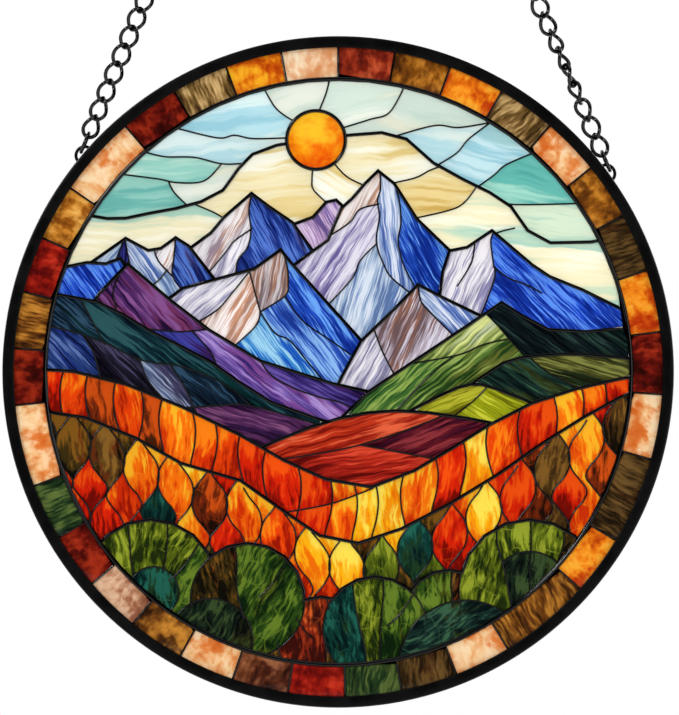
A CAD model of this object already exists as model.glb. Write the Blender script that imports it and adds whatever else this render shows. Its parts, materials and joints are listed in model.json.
"""A round stained glass suncatcher in a black metal rim, hung from a twisted curb chain.

Metres, +Z up. The panel stands in the XZ plane and its front faces -Y. Places on the panel are given in
millimetres from its centre, to the right and up, and clock angles run clockwise from the top.
"""

import json
import logging
import math
import random
from collections.abc import Callable, Iterable
from dataclasses import dataclass
from enum import Enum

import bmesh
import bpy
import numpy as np
from mathutils import Matrix, Vector
from mathutils.geometry import interpolate_bezier


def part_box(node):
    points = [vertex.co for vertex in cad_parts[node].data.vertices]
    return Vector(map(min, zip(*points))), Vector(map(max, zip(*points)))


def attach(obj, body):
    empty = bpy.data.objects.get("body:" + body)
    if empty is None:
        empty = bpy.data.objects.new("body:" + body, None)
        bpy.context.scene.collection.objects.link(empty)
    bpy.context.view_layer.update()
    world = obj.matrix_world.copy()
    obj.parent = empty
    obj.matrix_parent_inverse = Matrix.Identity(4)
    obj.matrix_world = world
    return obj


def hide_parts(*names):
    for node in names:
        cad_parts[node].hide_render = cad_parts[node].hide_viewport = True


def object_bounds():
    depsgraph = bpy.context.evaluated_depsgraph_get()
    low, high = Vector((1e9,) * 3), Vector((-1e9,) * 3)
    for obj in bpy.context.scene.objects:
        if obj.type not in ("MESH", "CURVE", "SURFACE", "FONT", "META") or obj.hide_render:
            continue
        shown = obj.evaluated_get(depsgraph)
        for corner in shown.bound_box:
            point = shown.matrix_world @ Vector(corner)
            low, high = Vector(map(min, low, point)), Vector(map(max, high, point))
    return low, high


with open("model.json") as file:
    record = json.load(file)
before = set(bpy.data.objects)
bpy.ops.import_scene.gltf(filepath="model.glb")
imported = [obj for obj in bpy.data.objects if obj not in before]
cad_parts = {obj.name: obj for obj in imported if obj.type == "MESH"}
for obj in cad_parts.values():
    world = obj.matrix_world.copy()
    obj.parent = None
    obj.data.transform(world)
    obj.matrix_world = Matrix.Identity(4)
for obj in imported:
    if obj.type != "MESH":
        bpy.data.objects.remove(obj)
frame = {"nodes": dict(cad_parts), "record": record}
CAD_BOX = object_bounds()

logging.basicConfig(level=logging.INFO, format="%(message)s")
log = logging.getLogger("suncatcher")

Point = tuple[float, float]
Line = list[Point]
Rgb = tuple[int, int, int]
Rgba = tuple[float, float, float, float]
Piece = bpy.types.Object
Socket = bpy.types.NodeSocket

# A millimetre, and the distance within which two corners are one, in metres.
MM = 0.001
TOUCH = 1e-6

BODY = "root"
COLOUR_NAMES = ("main", "light", "dark", "cloud")
SLOTS = {part["node"]: part["material_slot"] for part in frame["record"]["subparts"]}

# A place beyond the picture's edge on every side, in millimetres.
EDGE = 99.0

# The sharpest edges that are smoothed, in degrees, on cut glass, on stepped lead and on round work.
CUT_WORK = 35.0
STEPPED_WORK = 50.0
ROUND_WORK = 60.0


# ---------------------------------------------------------------- modelling


def put_down() -> None:
    """Leave edit mode with nothing selected, ready for a new primitive."""
    if bpy.context.mode != "OBJECT":
        bpy.ops.object.mode_set(mode="OBJECT")
    bpy.ops.object.select_all(action="DESELECT")


def pick(*objects: Piece) -> None:
    """Select these objects alone, the first one active.

    Args:
        objects: What the next operator works on.
    """
    put_down()
    for obj in objects:
        obj.select_set(True)
    bpy.context.view_layer.objects.active = objects[0]


def begin_edit(obj: Piece) -> None:
    """Open a mesh for editing with all of it selected.

    Args:
        obj: The mesh object.
    """
    pick(obj)
    bpy.ops.object.mode_set(mode="EDIT")
    bpy.ops.mesh.select_all(action="SELECT")


def end_edit() -> None:
    """Close the mesh that is being edited."""
    bpy.ops.object.mode_set(mode="OBJECT")


def weld(obj: Piece, turn_out: bool = False) -> None:
    """Merge a mesh's doubled corners.

    Args:
        obj: The mesh object.
        turn_out: Whether the faces are turned outwards afterwards.
    """
    begin_edit(obj)
    bpy.ops.mesh.remove_doubles(threshold=TOUCH)
    if turn_out:
        bpy.ops.mesh.normals_make_consistent(inside=False)
    end_edit()


def apply_modifier(obj: Piece, kind: str, **settings: object) -> None:
    """Add one modifier and apply it.

    Args:
        obj: The mesh object.
        kind: The modifier's type.
        settings: Its properties.
    """
    pick(obj)
    modifier = obj.modifiers.new(kind.title(), kind)
    for name, value in settings.items():
        setattr(modifier, name, value)
    bpy.ops.object.modifier_apply(modifier=modifier.name)


def settle(obj: Piece, angle: float = CUT_WORK) -> None:
    """Put an object's place into its mesh and smooth its soft edges.

    Args:
        obj: The mesh object.
        angle: The sharpest edge that is smoothed, in degrees.
    """
    pick(obj)
    bpy.ops.object.transform_apply(location=True, rotation=True, scale=True)
    bpy.ops.object.shade_smooth_by_angle(angle=math.radians(angle))


def join(objects: list[Piece], name: str) -> Piece:
    """Join several meshes in one object.

    Args:
        objects: The meshes.
        name: The joined object's name.

    Returns:
        The joined object.
    """
    pick(*objects)
    if len(objects) > 1:
        bpy.ops.object.join()
    joined = bpy.context.view_layer.objects.active
    joined.name = joined.data.name = name
    return joined


def remove(obj: Piece) -> None:
    """Delete a tool or a pattern that is done with."""
    bpy.data.objects.remove(obj, do_unlink=True)


def copy_of(node: str, name: str) -> Piece:
    """A copy of a CAD node with its loose triangles merged and shaded by its own faces.

    Args:
        node: The CAD node.
        name: The copy's name.

    Returns:
        The copy.
    """
    copy = bpy.data.objects.new(name, frame["nodes"][node].data.copy())
    bpy.context.scene.collection.objects.link(copy)
    copy.data.materials.clear()
    weld(copy)
    if copy.data.has_custom_normals:
        pick(copy)
        bpy.ops.mesh.customdata_custom_splitnormals_clear()
    return copy


def meshed(curve: bpy.types.Curve, place: Vector, turn: tuple[float, float, float]) -> Piece:
    """A curve made a mesh, with its place and turn put into the mesh.

    Args:
        curve: The curve.
        place: Where its origin comes.
        turn: Its turn about each axis.

    Returns:
        The mesh object, with its faces outwards.
    """
    obj = bpy.data.objects.new(curve.name, curve)
    obj.location = place
    obj.rotation_euler = turn
    bpy.context.scene.collection.objects.link(obj)
    pick(obj)
    bpy.ops.object.convert(target="MESH")
    obj = bpy.context.view_layer.objects.active
    bpy.ops.object.transform_apply(location=True, rotation=True, scale=True)
    weld(obj, turn_out=True)
    return obj


def wire_loop(path: list[Vector], wire: float, name: str, rounds: int) -> Piece:
    """Round wire in a closed loop.

    Args:
        path: The points of the wire's middle.
        wire: The wire's radius.
        name: The new object's name.
        rounds: The steps that round each quarter of the wire's section.

    Returns:
        The wire as a mesh object.
    """
    curve = bpy.data.curves.new(name, "CURVE")
    curve.dimensions = "3D"
    curve.bevel_depth = wire
    curve.bevel_resolution = rounds
    spline = curve.splines.new("POLY")
    spline.points.add(len(path) - 1)
    for point, place in zip(spline.points, path):
        point.co = (*place, 1.0)
    spline.use_cyclic_u = True
    return meshed(curve, Vector(), (0.0, 0.0, 0.0))


def smooth_line(points: Line, step: float = 1.0) -> Line:
    """A smooth line through a few points.

    Args:
        points: The points.
        step: The distance between the new points, in millimetres.

    Returns:
        The points of the smooth line.
    """
    ends = [points[0], *points, points[-1]]
    line: Line = []
    for before, start, stop, after in zip(ends, ends[1:], ends[2:], ends[3:]):
        a, b, c, d = (Vector(point) for point in (before, start, stop, after))
        count = max(2, round((c - b).length / step) + 1)
        curve = interpolate_bezier(b, b + (c - a) / 6, c - (d - b) / 6, c, count)
        line += [(point.x, point.y) for point in curve[:-1]]
    return [*line, points[-1]]


def led_on(line: Line, reach: float) -> Line:
    """A line with both its ends led on straight.

    Args:
        line: The line.
        reach: How far each end is led on, in millimetres.

    Returns:
        The longer line.
    """
    ends = []
    for end, before in ((line[0], line[1]), (line[-1], line[-2])):
        ends.append(tuple(Vector(end) + (Vector(end) - Vector(before)).normalized() * reach))
    return [ends[0], *line, ends[1]]


# ---------------------------------------------------------------- colours


def linear(colour: Rgb) -> np.ndarray:
    """A colour out of 255 as linear light."""
    share = np.array(colour) / 255
    return np.where(share > 10 / 255, ((share + 0.055) / 1.055) ** 2.4, share / 12.92)


class Sheet(Enum):
    """The sheets of art glass on the rack.

    Each has a main colour, the colours of its light and dark streaks, and the colour of its clouds.
    """

    POWDER = ((188, 226, 234), (226, 245, 244), (158, 208, 222), (236, 247, 238))
    HIGH_BLUE = ((156, 208, 222), (206, 236, 242), (122, 182, 202), (168, 210, 212))
    AQUA = ((160, 214, 198), (210, 238, 222), (126, 192, 184), (226, 238, 212))
    SEA = ((106, 190, 180), (170, 224, 208), (70, 154, 150), (150, 212, 194))
    LAGOON = ((156, 212, 200), (204, 236, 220), (112, 188, 180), (190, 226, 198))
    MIST = ((220, 236, 224), (243, 248, 236), (204, 226, 214), (240, 240, 218))
    CREAM = ((250, 240, 200), (255, 254, 238), (242, 220, 156), (228, 202, 124))
    HONEY = ((244, 222, 156), (254, 246, 206), (220, 184, 98), (255, 252, 226))
    HAZE = ((246, 238, 202), (253, 250, 230), (212, 228, 200), (168, 214, 200))
    FROST = ((208, 204, 220), (250, 246, 250), (134, 130, 164), (150, 146, 192))
    LAVENDER = ((190, 184, 212), (236, 232, 244), (106, 96, 152), (134, 112, 178))
    ROSE_SAND = ((226, 208, 202), (250, 242, 240), (172, 134, 118), (204, 142, 104))
    SNOW_SAND = ((224, 218, 224), (250, 246, 248), (158, 138, 152), (196, 144, 114))
    TAUPE = ((178, 164, 168), (220, 210, 212), (118, 102, 110), (176, 124, 90))
    UMBER_ICE = ((170, 158, 172), (222, 216, 230), (108, 84, 86), (150, 96, 64))
    PALE_ICE = ((172, 194, 222), (228, 236, 248), (98, 124, 172), (92, 128, 192))
    GLACIER = ((150, 172, 212), (226, 232, 246), (70, 96, 162), (92, 124, 196))
    COBALT = ((38, 84, 200), (112, 172, 248), (14, 40, 132), (22, 56, 166))
    ROYAL = ((36, 80, 206), (98, 152, 244), (12, 34, 126), (26, 60, 174))
    DEEP_BLUE = ((36, 60, 146), (88, 126, 212), (14, 26, 86), (72, 70, 126))
    AZURE = ((70, 116, 208), (148, 194, 246), (30, 58, 150), (46, 88, 200))
    CYAN = ((58, 146, 220), (168, 222, 248), (26, 74, 182), (34, 100, 206))
    LILAC = ((176, 144, 188), (226, 204, 234), (104, 84, 142), (140, 116, 180))
    PLUM = ((82, 42, 102), (140, 86, 150), (32, 14, 50), (118, 50, 92))
    INDIGO = ((34, 34, 104), (64, 66, 160), (14, 14, 52), (60, 32, 92))
    VIOLET = ((116, 86, 170), (180, 150, 218), (58, 40, 112), (134, 76, 150))
    GRAPE = ((58, 42, 116), (108, 86, 170), (26, 16, 60), (84, 38, 100))
    TEAL = ((16, 44, 54), (44, 88, 92), (5, 14, 24), (12, 54, 52))
    MIDNIGHT = ((15, 30, 46), (46, 76, 100), (5, 10, 18), (12, 44, 48))
    DENIM = ((34, 56, 116), (92, 116, 172), (12, 20, 52), (24, 42, 116))
    SOOT = ((30, 26, 42), (70, 66, 96), (10, 8, 16), (44, 32, 74))
    GREY_BLUE = ((86, 98, 134), (156, 170, 200), (34, 38, 62), (62, 56, 88))
    AUBERGINE = ((84, 42, 88), (138, 84, 128), (30, 12, 36), (50, 24, 70))
    SAGE = ((160, 176, 96), (226, 232, 150), (82, 104, 44), (196, 204, 170))
    MEADOW = ((90, 122, 52), (168, 190, 102), (34, 66, 26), (106, 112, 46))
    GLADE = ((62, 104, 46), (148, 174, 84), (18, 54, 24), (110, 128, 54))
    PINE = ((24, 48, 42), (58, 96, 70), (8, 20, 20), (52, 62, 26))
    BLACK_GREEN = ((16, 28, 32), (44, 66, 60), (5, 10, 14), (22, 44, 34))
    KHAKI = ((66, 68, 28), (130, 132, 66), (24, 26, 10), (26, 46, 30))
    LIME = ((162, 170, 24), (214, 216, 64), (108, 110, 14), (130, 134, 16))
    OCHRE = ((142, 146, 26), (192, 190, 52), (92, 86, 14), (112, 104, 18))
    BRICK = ((192, 52, 24), (234, 104, 66), (126, 22, 12), (160, 34, 20))
    WINE = ((90, 20, 32), (144, 52, 58), (38, 6, 16), (66, 14, 38))
    RUBY = ((168, 34, 22), (222, 74, 48), (94, 12, 10), (196, 52, 30))
    FLAME = ((234, 68, 8), (253, 134, 20), (158, 24, 5), (208, 42, 6))
    SCARLET = ((214, 34, 7), (242, 84, 14), (118, 12, 5), (176, 20, 6))
    AMBER = ((246, 116, 12), (254, 186, 40), (206, 50, 6), (234, 84, 8))
    SUNNY = ((252, 184, 20), (255, 226, 84), (236, 112, 8), (244, 148, 12))
    TORTOISE = ((112, 38, 12), (206, 80, 18), (30, 13, 7), (60, 28, 10))
    BRACKEN = ((60, 46, 16), (130, 86, 26), (17, 15, 8), (112, 48, 15))
    FERN = ((92, 108, 22), (154, 166, 48), (30, 44, 12), (64, 80, 18))
    GRASS = ((46, 76, 22), (106, 132, 42), (14, 34, 12), (72, 82, 22))
    JADE = ((14, 56, 50), (34, 100, 84), (6, 26, 28), (30, 58, 28))
    BARK = ((74, 50, 20), (134, 94, 38), (22, 16, 8), (100, 44, 18))
    NIGHT = ((24, 38, 26), (58, 78, 42), (8, 13, 12), (44, 46, 20))
    EMBER = ((142, 42, 20), (216, 96, 38), (60, 16, 12), (96, 40, 18))
    SUN = ((252, 166, 18), (255, 200, 44), (232, 76, 8), (244, 118, 12))
    TILE_PEACH = ((244, 186, 122), (253, 226, 184), (216, 108, 40), (232, 140, 66))
    TILE_ORANGE = ((246, 136, 20), (255, 188, 58), (184, 50, 12), (222, 92, 16))
    TILE_AMBER = ((160, 94, 24), (220, 148, 52), (74, 38, 12), (122, 68, 20))
    TILE_OLIVE = ((138, 104, 54), (222, 186, 126), (54, 38, 18), (96, 70, 34))
    TILE_BROWN = ((60, 42, 20), (116, 86, 44), (18, 13, 8), (78, 48, 22))
    TILE_UMBER = ((128, 74, 24), (206, 140, 52), (44, 24, 10), (92, 52, 20))
    TILE_RUST = ((168, 54, 30), (208, 96, 54), (90, 22, 14), (132, 36, 20))
    TILE_DARK_RED = ((112, 20, 12), (172, 50, 24), (46, 8, 6), (84, 14, 10))
    TILE_RED = ((160, 26, 16), (206, 56, 34), (84, 10, 10), (124, 18, 12))
    TILE_GREEN = ((42, 68, 34), (104, 122, 60), (14, 28, 16), (72, 90, 40))
    TILE_MAUVE = ((188, 134, 100), (232, 194, 160), (126, 70, 48), (164, 100, 74))
    TILE_SIENNA = ((92, 42, 26), (170, 108, 72), (34, 16, 12), (120, 62, 34))
    TILE_GOLD = ((222, 148, 50), (246, 194, 102), (126, 66, 16), (176, 104, 26))
    TILE_CREAM = ((242, 206, 166), (253, 236, 208), (220, 150, 98), (238, 186, 138))
    TILE_COPPER = ((230, 114, 14), (254, 190, 40), (160, 42, 8), (206, 70, 10))


class Grain(Enum):
    """The directions that the streaks run in, in degrees anticlockwise from level."""

    LEVEL = 0
    UPRIGHT = 90


# ---------------------------------------------------------------- finishes


@dataclass(frozen=True)
class Nodes:
    """A small bench for wiring a material.

    Attributes:
        tree: The material's node tree.
    """

    tree: bpy.types.NodeTree

    def add(self, kind: str, **settings: object) -> bpy.types.Node:
        """A new node.

        Args:
            kind: The node's type.
            settings: Its properties.

        Returns:
            The node.
        """
        node = self.tree.nodes.new(kind)
        for name, value in settings.items():
            setattr(node, name, value)
        return node

    def link(self, source: Socket, target: Socket) -> None:
        """Wire one socket to another."""
        self.tree.links.new(source, target)

    def noise(self, place: Socket, scale: float, detail: float) -> Socket:
        """Cloudy values from 0 to 1.

        Args:
            place: The coordinates.
            scale: The lumps in one unit of the coordinates.
            detail: How many finer lumps are laid over them.

        Returns:
            The value.
        """
        node = self.add("ShaderNodeTexNoise")
        node.inputs["Scale"].default_value = scale
        node.inputs["Detail"].default_value = detail
        node.inputs["Roughness"].default_value = 0.55
        self.link(place, node.inputs["Vector"])
        return node.outputs["Fac"]

    def between(self, value: Socket, low: float, high: float, top: float = 1.0) -> Socket:
        """How far a value is on its way from one number to another, softly clamped.

        Args:
            value: The value.
            low: Where the way begins.
            high: Where it ends.
            top: The result at its end.

        Returns:
            The result, from 0 to top.
        """
        node = self.add("ShaderNodeMapRange", interpolation_type="SMOOTHSTEP")
        for name, number in (("From Min", low), ("From Max", high), ("To Max", top)):
            node.inputs[name].default_value = number
        self.link(value, node.inputs["Value"])
        return node.outputs["Result"]

    def ramp(self, value: Socket, *stops: tuple[float, Rgba]) -> Socket:
        """A colour that runs from one stop to the other as the value grows.

        Args:
            value: The value.
            stops: Two stops, each with its place and its colour as linear light.

        Returns:
            The colour.
        """
        node = self.add("ShaderNodeValToRGB")
        for element, (position, colour) in zip(node.color_ramp.elements, stops):
            element.position = position
            element.color = colour
        self.link(value, node.inputs["Fac"])
        return node.outputs["Color"]

    def mix(self, share: Socket, first: Socket, second: Socket) -> Socket:
        """A blend of two colours.

        Args:
            share: The second colour's share.
            first: The first colour.
            second: The second colour.

        Returns:
            The blend.
        """
        node = self.add("ShaderNodeMix", data_type="RGBA")
        self.link(share, node.inputs["Factor"])
        self.link(first, node.inputs["A"])
        self.link(second, node.inputs["B"])
        return node.outputs["Result"]

    def maths(self, operation: str, first: Socket, second: Socket | float) -> Socket:
        """A sum, a product or the like of two values.

        Args:
            operation: The kind of sum.
            first: The first value.
            second: The second value, or a plain number.

        Returns:
            The result.
        """
        node = self.add("ShaderNodeMath", operation=operation)
        self.link(first, node.inputs[0])
        if isinstance(second, Socket):
            self.link(second, node.inputs[1])
        else:
            node.inputs[1].default_value = second
        return node.outputs[0]

    def sum_of(self, parts: Iterable[tuple[Socket, float]], start: float) -> Socket:
        """Several values, each times its own weight, added to a start.

        Args:
            parts: The values and their weights.
            start: The number that they are added to.

        Returns:
            The sum.
        """
        total: Socket | None = None
        for value, weight in parts:
            node = self.add("ShaderNodeMath", operation="MULTIPLY_ADD")
            self.link(value, node.inputs[0])
            node.inputs[1].default_value = weight
            if total is None:
                node.inputs[2].default_value = start
            else:
                self.link(total, node.inputs[2])
            total = node.outputs[0]
        return total

    def stretched(self, place: Socket, scale: tuple[float, float, float]) -> Socket:
        """Coordinates scaled by axis.

        Args:
            place: The coordinates.
            scale: The scale along each axis.

        Returns:
            The scaled coordinates.
        """
        node = self.add("ShaderNodeMapping")
        node.inputs["Scale"].default_value = scale
        self.link(place, node.inputs["Vector"])
        return node.outputs["Vector"]

    def bump(self, height: Socket, strength: float, depth: float) -> Socket:
        """A bumped normal from a height.

        Args:
            height: The height, from 0 to 1.
            strength: How strongly it shows.
            depth: The height of 1, in metres.

        Returns:
            The normal.
        """
        node = self.add("ShaderNodeBump")
        node.inputs["Strength"].default_value = strength
        node.inputs["Distance"].default_value = depth
        self.link(height, node.inputs["Height"])
        return node.outputs["Normal"]


def new_material(name: str) -> tuple[bpy.types.Material, Nodes, bpy.types.Node]:
    """A material with its own wiring.

    Args:
        name: The material's name.

    Returns:
        The material, its bench and its shader.
    """
    material = bpy.data.materials.new(name)
    material.use_nodes = True
    return material, Nodes(material.node_tree), material.node_tree.nodes["Principled BSDF"]


@dataclass(frozen=True)
class ArtGlass:
    """Hand-rolled glass with streaks and clouds of further colours in it.

    Attributes:
        name: The finish's name.
        across: Streaks in a centimetre, across the grain.
        along: Streaks in a centimetre, along the grain.
        wave: How far the streaks wander, in centimetres.
        light: The share of light streaks.
        dark: The share of dark streaks.
        rise: How much lighter a pane grows from its foot to its head.
        hairs: The strength of the finest lines.
        clouds: The share of the fourth colour.
        ripple: The depth of the surface ripples, in metres.
        clear: How see-through the glass is.
        soft: How softly the streaks run into each other.
        cracks: The strength of the pale hair cracks.
        ZONES: The broadest streaks: how many along and across the grain, as shares of the finish's
            own numbers, and how many finer ones are laid over them.
        BANDS: The same of the streaks that show first.
        HAIRS: The same of the finest.
        WISPS: The same of the clouds.
        CRACK_CELLS: The cells between the cracks, in a centimetre.
        GLOSS: The lowest and the highest roughness.
    """

    ZONES = (0.45, 0.16, 2.0)
    BANDS = (0.9, 0.55, 3.0)
    HAIRS = (1.6, 1.9, 3.0)
    WISPS = (0.35, 0.22, 3.0)
    CRACK_CELLS = 1.6
    GLOSS = (0.1, 0.24)

    name: str
    across: float
    along: float
    wave: float = 0.25
    light: float = 0.5
    dark: float = 0.5
    rise: float = 0.0
    hairs: float = 0.8
    clouds: float = 0.5
    ripple: float = 0.00004
    clear: float = 0.35
    soft: float = 0.0
    cracks: float = 0.0

    def streaks(self, nodes: Nodes, place: Socket, along: float, across: float, detail: float) -> Socket:
        """Streaks along the grain, from 0 to 1.

        Args:
            nodes: The material's bench.
            place: The coordinates, along and across the grain.
            along: Streaks in a centimetre along the grain, of this finish's own number.
            across: Streaks across it, of this finish's own number.
            detail: How many finer streaks are laid over them.

        Returns:
            The value.
        """
        stretch = (self.along * along, self.across * across, 1.0)
        return nodes.noise(nodes.stretched(place, stretch), 1.0, detail)

    def material(self) -> bpy.types.Material:
        """The finish as a material.

        Returns:
            The material.
        """
        material, nodes, shader = new_material(self.name)
        grain = nodes.add("ShaderNodeUVMap", uv_map="grain").outputs["UV"]
        pane = nodes.add("ShaderNodeSeparateXYZ")
        nodes.link(nodes.add("ShaderNodeUVMap", uv_map="pane").outputs["UV"], pane.inputs["Vector"])
        main, light, dark, cloud = (
            nodes.add("ShaderNodeAttribute", attribute_name=name).outputs["Color"]
            for name in COLOUR_NAMES
        )
        wander = nodes.add("ShaderNodeTexNoise", noise_dimensions="2D")
        wander.inputs["Scale"].default_value = 0.9
        wander.inputs["Detail"].default_value = 2.0
        nodes.link(grain, wander.inputs["Vector"])
        shift = nodes.add("ShaderNodeVectorMath", operation="MULTIPLY_ADD")
        shift.inputs[1].default_value = (self.wave, self.wave, 0.0)
        nodes.link(wander.outputs["Color"], shift.inputs[0])
        nodes.link(grain, shift.inputs[2])
        place = shift.outputs["Vector"]

        zones, bands, hairs, wisps = (
            self.streaks(nodes, place, *kind) for kind in (self.ZONES, self.BANDS, self.HAIRS, self.WISPS)
        )
        tone = nodes.sum_of(
            ((zones, 1.0), (bands, 1.0), (hairs, self.hairs), (pane.outputs["Y"], self.rise)),
            -0.5 * (2.0 + self.hairs + self.rise))
        mist = nodes.sum_of(((wisps, 1.0), (bands, -0.45), (pane.outputs["X"], 0.1)), 0.17)
        clouds = nodes.between(mist, 0.62 - 0.2 * self.clouds, 0.7 - 0.2 * self.clouds, 0.9)
        high, low = -0.26 * self.light, 0.26 * self.dark
        lights = nodes.between(tone, high + 0.14 - self.soft, high + 0.34 + self.soft)
        darks = nodes.between(tone, low - 0.14 + self.soft, low - 0.36 - self.soft)
        colour = nodes.mix(darks, nodes.mix(lights, nodes.mix(clouds, main, cloud), light), dark)
        if self.cracks:
            cells = nodes.add("ShaderNodeTexVoronoi", feature="DISTANCE_TO_EDGE", voronoi_dimensions="2D")
            cells.inputs["Scale"].default_value = self.CRACK_CELLS
            nodes.link(place, cells.inputs["Vector"])
            crack = nodes.between(cells.outputs["Distance"], 0.04, 0.012, self.cracks)
            shown = nodes.maths("MULTIPLY", crack, nodes.between(zones, 0.42, 0.58))
            colour = nodes.mix(shown, colour, light)
        nodes.link(colour, shader.inputs["Base Color"])

        rough = nodes.between(hairs, 0.3, 0.7, self.GLOSS[1])
        rough.node.inputs["To Min"].default_value = self.GLOSS[0]
        nodes.link(rough, shader.inputs["Roughness"])
        nodes.link(nodes.bump(bands, 0.5, self.ripple), shader.inputs["Normal"])
        shader.inputs["Transmission Weight"].default_value = self.clear
        shader.inputs["IOR"].default_value = 1.1
        shader.inputs["Coat Weight"].default_value = 0.25
        shader.inputs["Coat Roughness"].default_value = 0.08
        return material


@dataclass(frozen=True)
class BlackMetal:
    """Metal under a dark coat.

    Attributes:
        name: The finish's name.
        tone: The coat's colour as linear light.
        worn: The lighter tone where hands or tools have rubbed it.
        gloss: The lowest and highest roughness.
        pits: The depth of the orange peel, in metres.
        shine: The strength of its highlights.
        PATCHES: The duller and the glossier patches in a metre.
        SPECKS: The bumps of the orange peel in a metre.
    """

    PATCHES = 160.0
    SPECKS = 2200.0

    name: str
    tone: float
    worn: float
    gloss: tuple[float, float]
    pits: float
    shine: float

    def material(self) -> bpy.types.Material:
        """The finish as a material.

        Returns:
            The material.
        """
        material, nodes, shader = new_material(self.name)
        place = nodes.add("ShaderNodeTexCoord").outputs["Object"]
        cloud = nodes.noise(place, self.PATCHES, 4.0)
        speck = nodes.noise(place, self.SPECKS, 2.0)
        dark = (self.tone, self.tone, self.tone * 1.08, 1.0)
        rubbed = (self.worn, self.worn, self.worn * 1.06, 1.0)
        nodes.link(nodes.ramp(cloud, (0.45, dark), (0.75, rubbed)), shader.inputs["Base Color"])
        rough = nodes.between(cloud, 0.3, 0.7, self.gloss[1])
        rough.node.inputs["To Min"].default_value = self.gloss[0]
        nodes.link(rough, shader.inputs["Roughness"])
        nodes.link(nodes.bump(speck, 0.4, self.pits), shader.inputs["Normal"])
        shader.inputs["Specular IOR Level"].default_value = self.shine
        return material


@dataclass(frozen=True)
class Plaster:
    """The pale floor of the studio.

    Attributes:
        name: The finish's name.
        pale: Its darker tone as linear light.
        paler: Its lighter tone.
        patches: The patches of those tones in a metre.
        rough: Its roughness.
    """

    name: str = "pale_floor"
    pale: Rgba = (0.78, 0.78, 0.77, 1.0)
    paler: Rgba = (0.84, 0.84, 0.83, 1.0)
    patches: float = 3.0
    rough: float = 0.8

    def material(self) -> bpy.types.Material:
        """The finish as a material.

        Returns:
            The material.
        """
        material, nodes, shader = new_material(self.name)
        place = nodes.add("ShaderNodeTexCoord").outputs["Object"]
        cloud = nodes.noise(place, self.patches, 5.0)
        nodes.link(nodes.ramp(cloud, (0.0, self.pale), (1.0, self.paler)), shader.inputs["Base Color"])
        shader.inputs["Roughness"].default_value = self.rough
        return material


# ---------------------------------------------------------------- the panel's plane


@dataclass(frozen=True)
class PanelPlane:
    """The panel's middle plane, which every line of lead is drawn on.

    Attributes:
        centre: The panel's centre, in metres.
        radius: The rim's outer radius, in metres.
    """

    centre: Vector
    radius: float

    @classmethod
    def of_rim(cls) -> "PanelPlane":
        """The plane of the CAD rim."""
        low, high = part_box("rim")
        return cls((low + high) / 2, (high.x - low.x) / 2)

    def at(self, x: float, z: float, y: float = 0.0) -> Vector:
        """A place on the panel in metres, from millimetres."""
        return self.centre + Vector((x, y, z)) * MM

    def clock(self, angle: float, radius: float) -> Vector:
        """The place at a clock angle in degrees and a radius in millimetres."""
        turn = math.radians(angle)
        return self.at(radius * math.sin(turn), radius * math.cos(turn))

    def strips(self, lines: list[Line], half_width: float, half_depth: float, name: str,
               rounds: int = 0) -> Piece:
        """Strips with round edges that follow lines on the panel.

        Args:
            lines: The lines.
            half_width: Half of a strip's width, in millimetres.
            half_depth: Half of its depth through the panel, in millimetres.
            name: The new object's name.
            rounds: The steps in its round edges.

        Returns:
            The strips as one mesh object.
        """
        curve = bpy.data.curves.new(name, "CURVE")
        curve.dimensions = "2D"
        curve.fill_mode = "NONE"
        curve.extrude = (half_depth - half_width) * MM
        curve.bevel_depth = half_width * MM
        curve.bevel_resolution = rounds
        curve.use_fill_caps = True
        for line in lines:
            spline = curve.splines.new("POLY")
            spline.points.add(len(line) - 1)
            for point, (x, z) in zip(spline.points, line):
                point.co = (x * MM, z * MM, 0.0, 1.0)
        return meshed(curve, self.centre, (math.pi / 2, 0.0, 0.0))

    def turned(self, profile: list[Point], centre: Vector, steps: int, name: str) -> Piece:
        """A ring spun about an axis through the panel from a closed profile.

        Args:
            profile: The profile's corners as radius and depth, in millimetres.
            centre: The ring's centre.
            steps: The steps of a full turn.
            name: The new object's name.

        Returns:
            The ring.
        """
        put_down()
        bpy.ops.mesh.primitive_circle_add(vertices=len(profile), fill_type="NGON", location=centre)
        ring = bpy.context.view_layer.objects.active
        for corner, (radius, depth) in zip(ring.data.vertices, profile):
            corner.co = (radius * MM, depth * MM, 0.0)
        begin_edit(ring)
        bpy.ops.mesh.spin(steps=steps, angle=2 * math.pi, center=centre, axis=(0.0, 1.0, 0.0),
                          use_auto_merge=False)
        bpy.ops.mesh.select_all(action="SELECT")
        bpy.ops.mesh.remove_doubles(threshold=TOUCH)
        bpy.ops.mesh.select_all(action="DESELECT")
        end_edit()
        for face in ring.data.polygons:
            face.select = len(face.vertices) == len(profile)
        pick(ring)
        bpy.ops.object.mode_set(mode="EDIT")
        bpy.ops.mesh.delete(type="ONLY_FACE")
        bpy.ops.mesh.select_all(action="SELECT")
        bpy.ops.mesh.normals_make_consistent(inside=False)
        end_edit()
        ring.name = ring.data.name = name
        return ring


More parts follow.
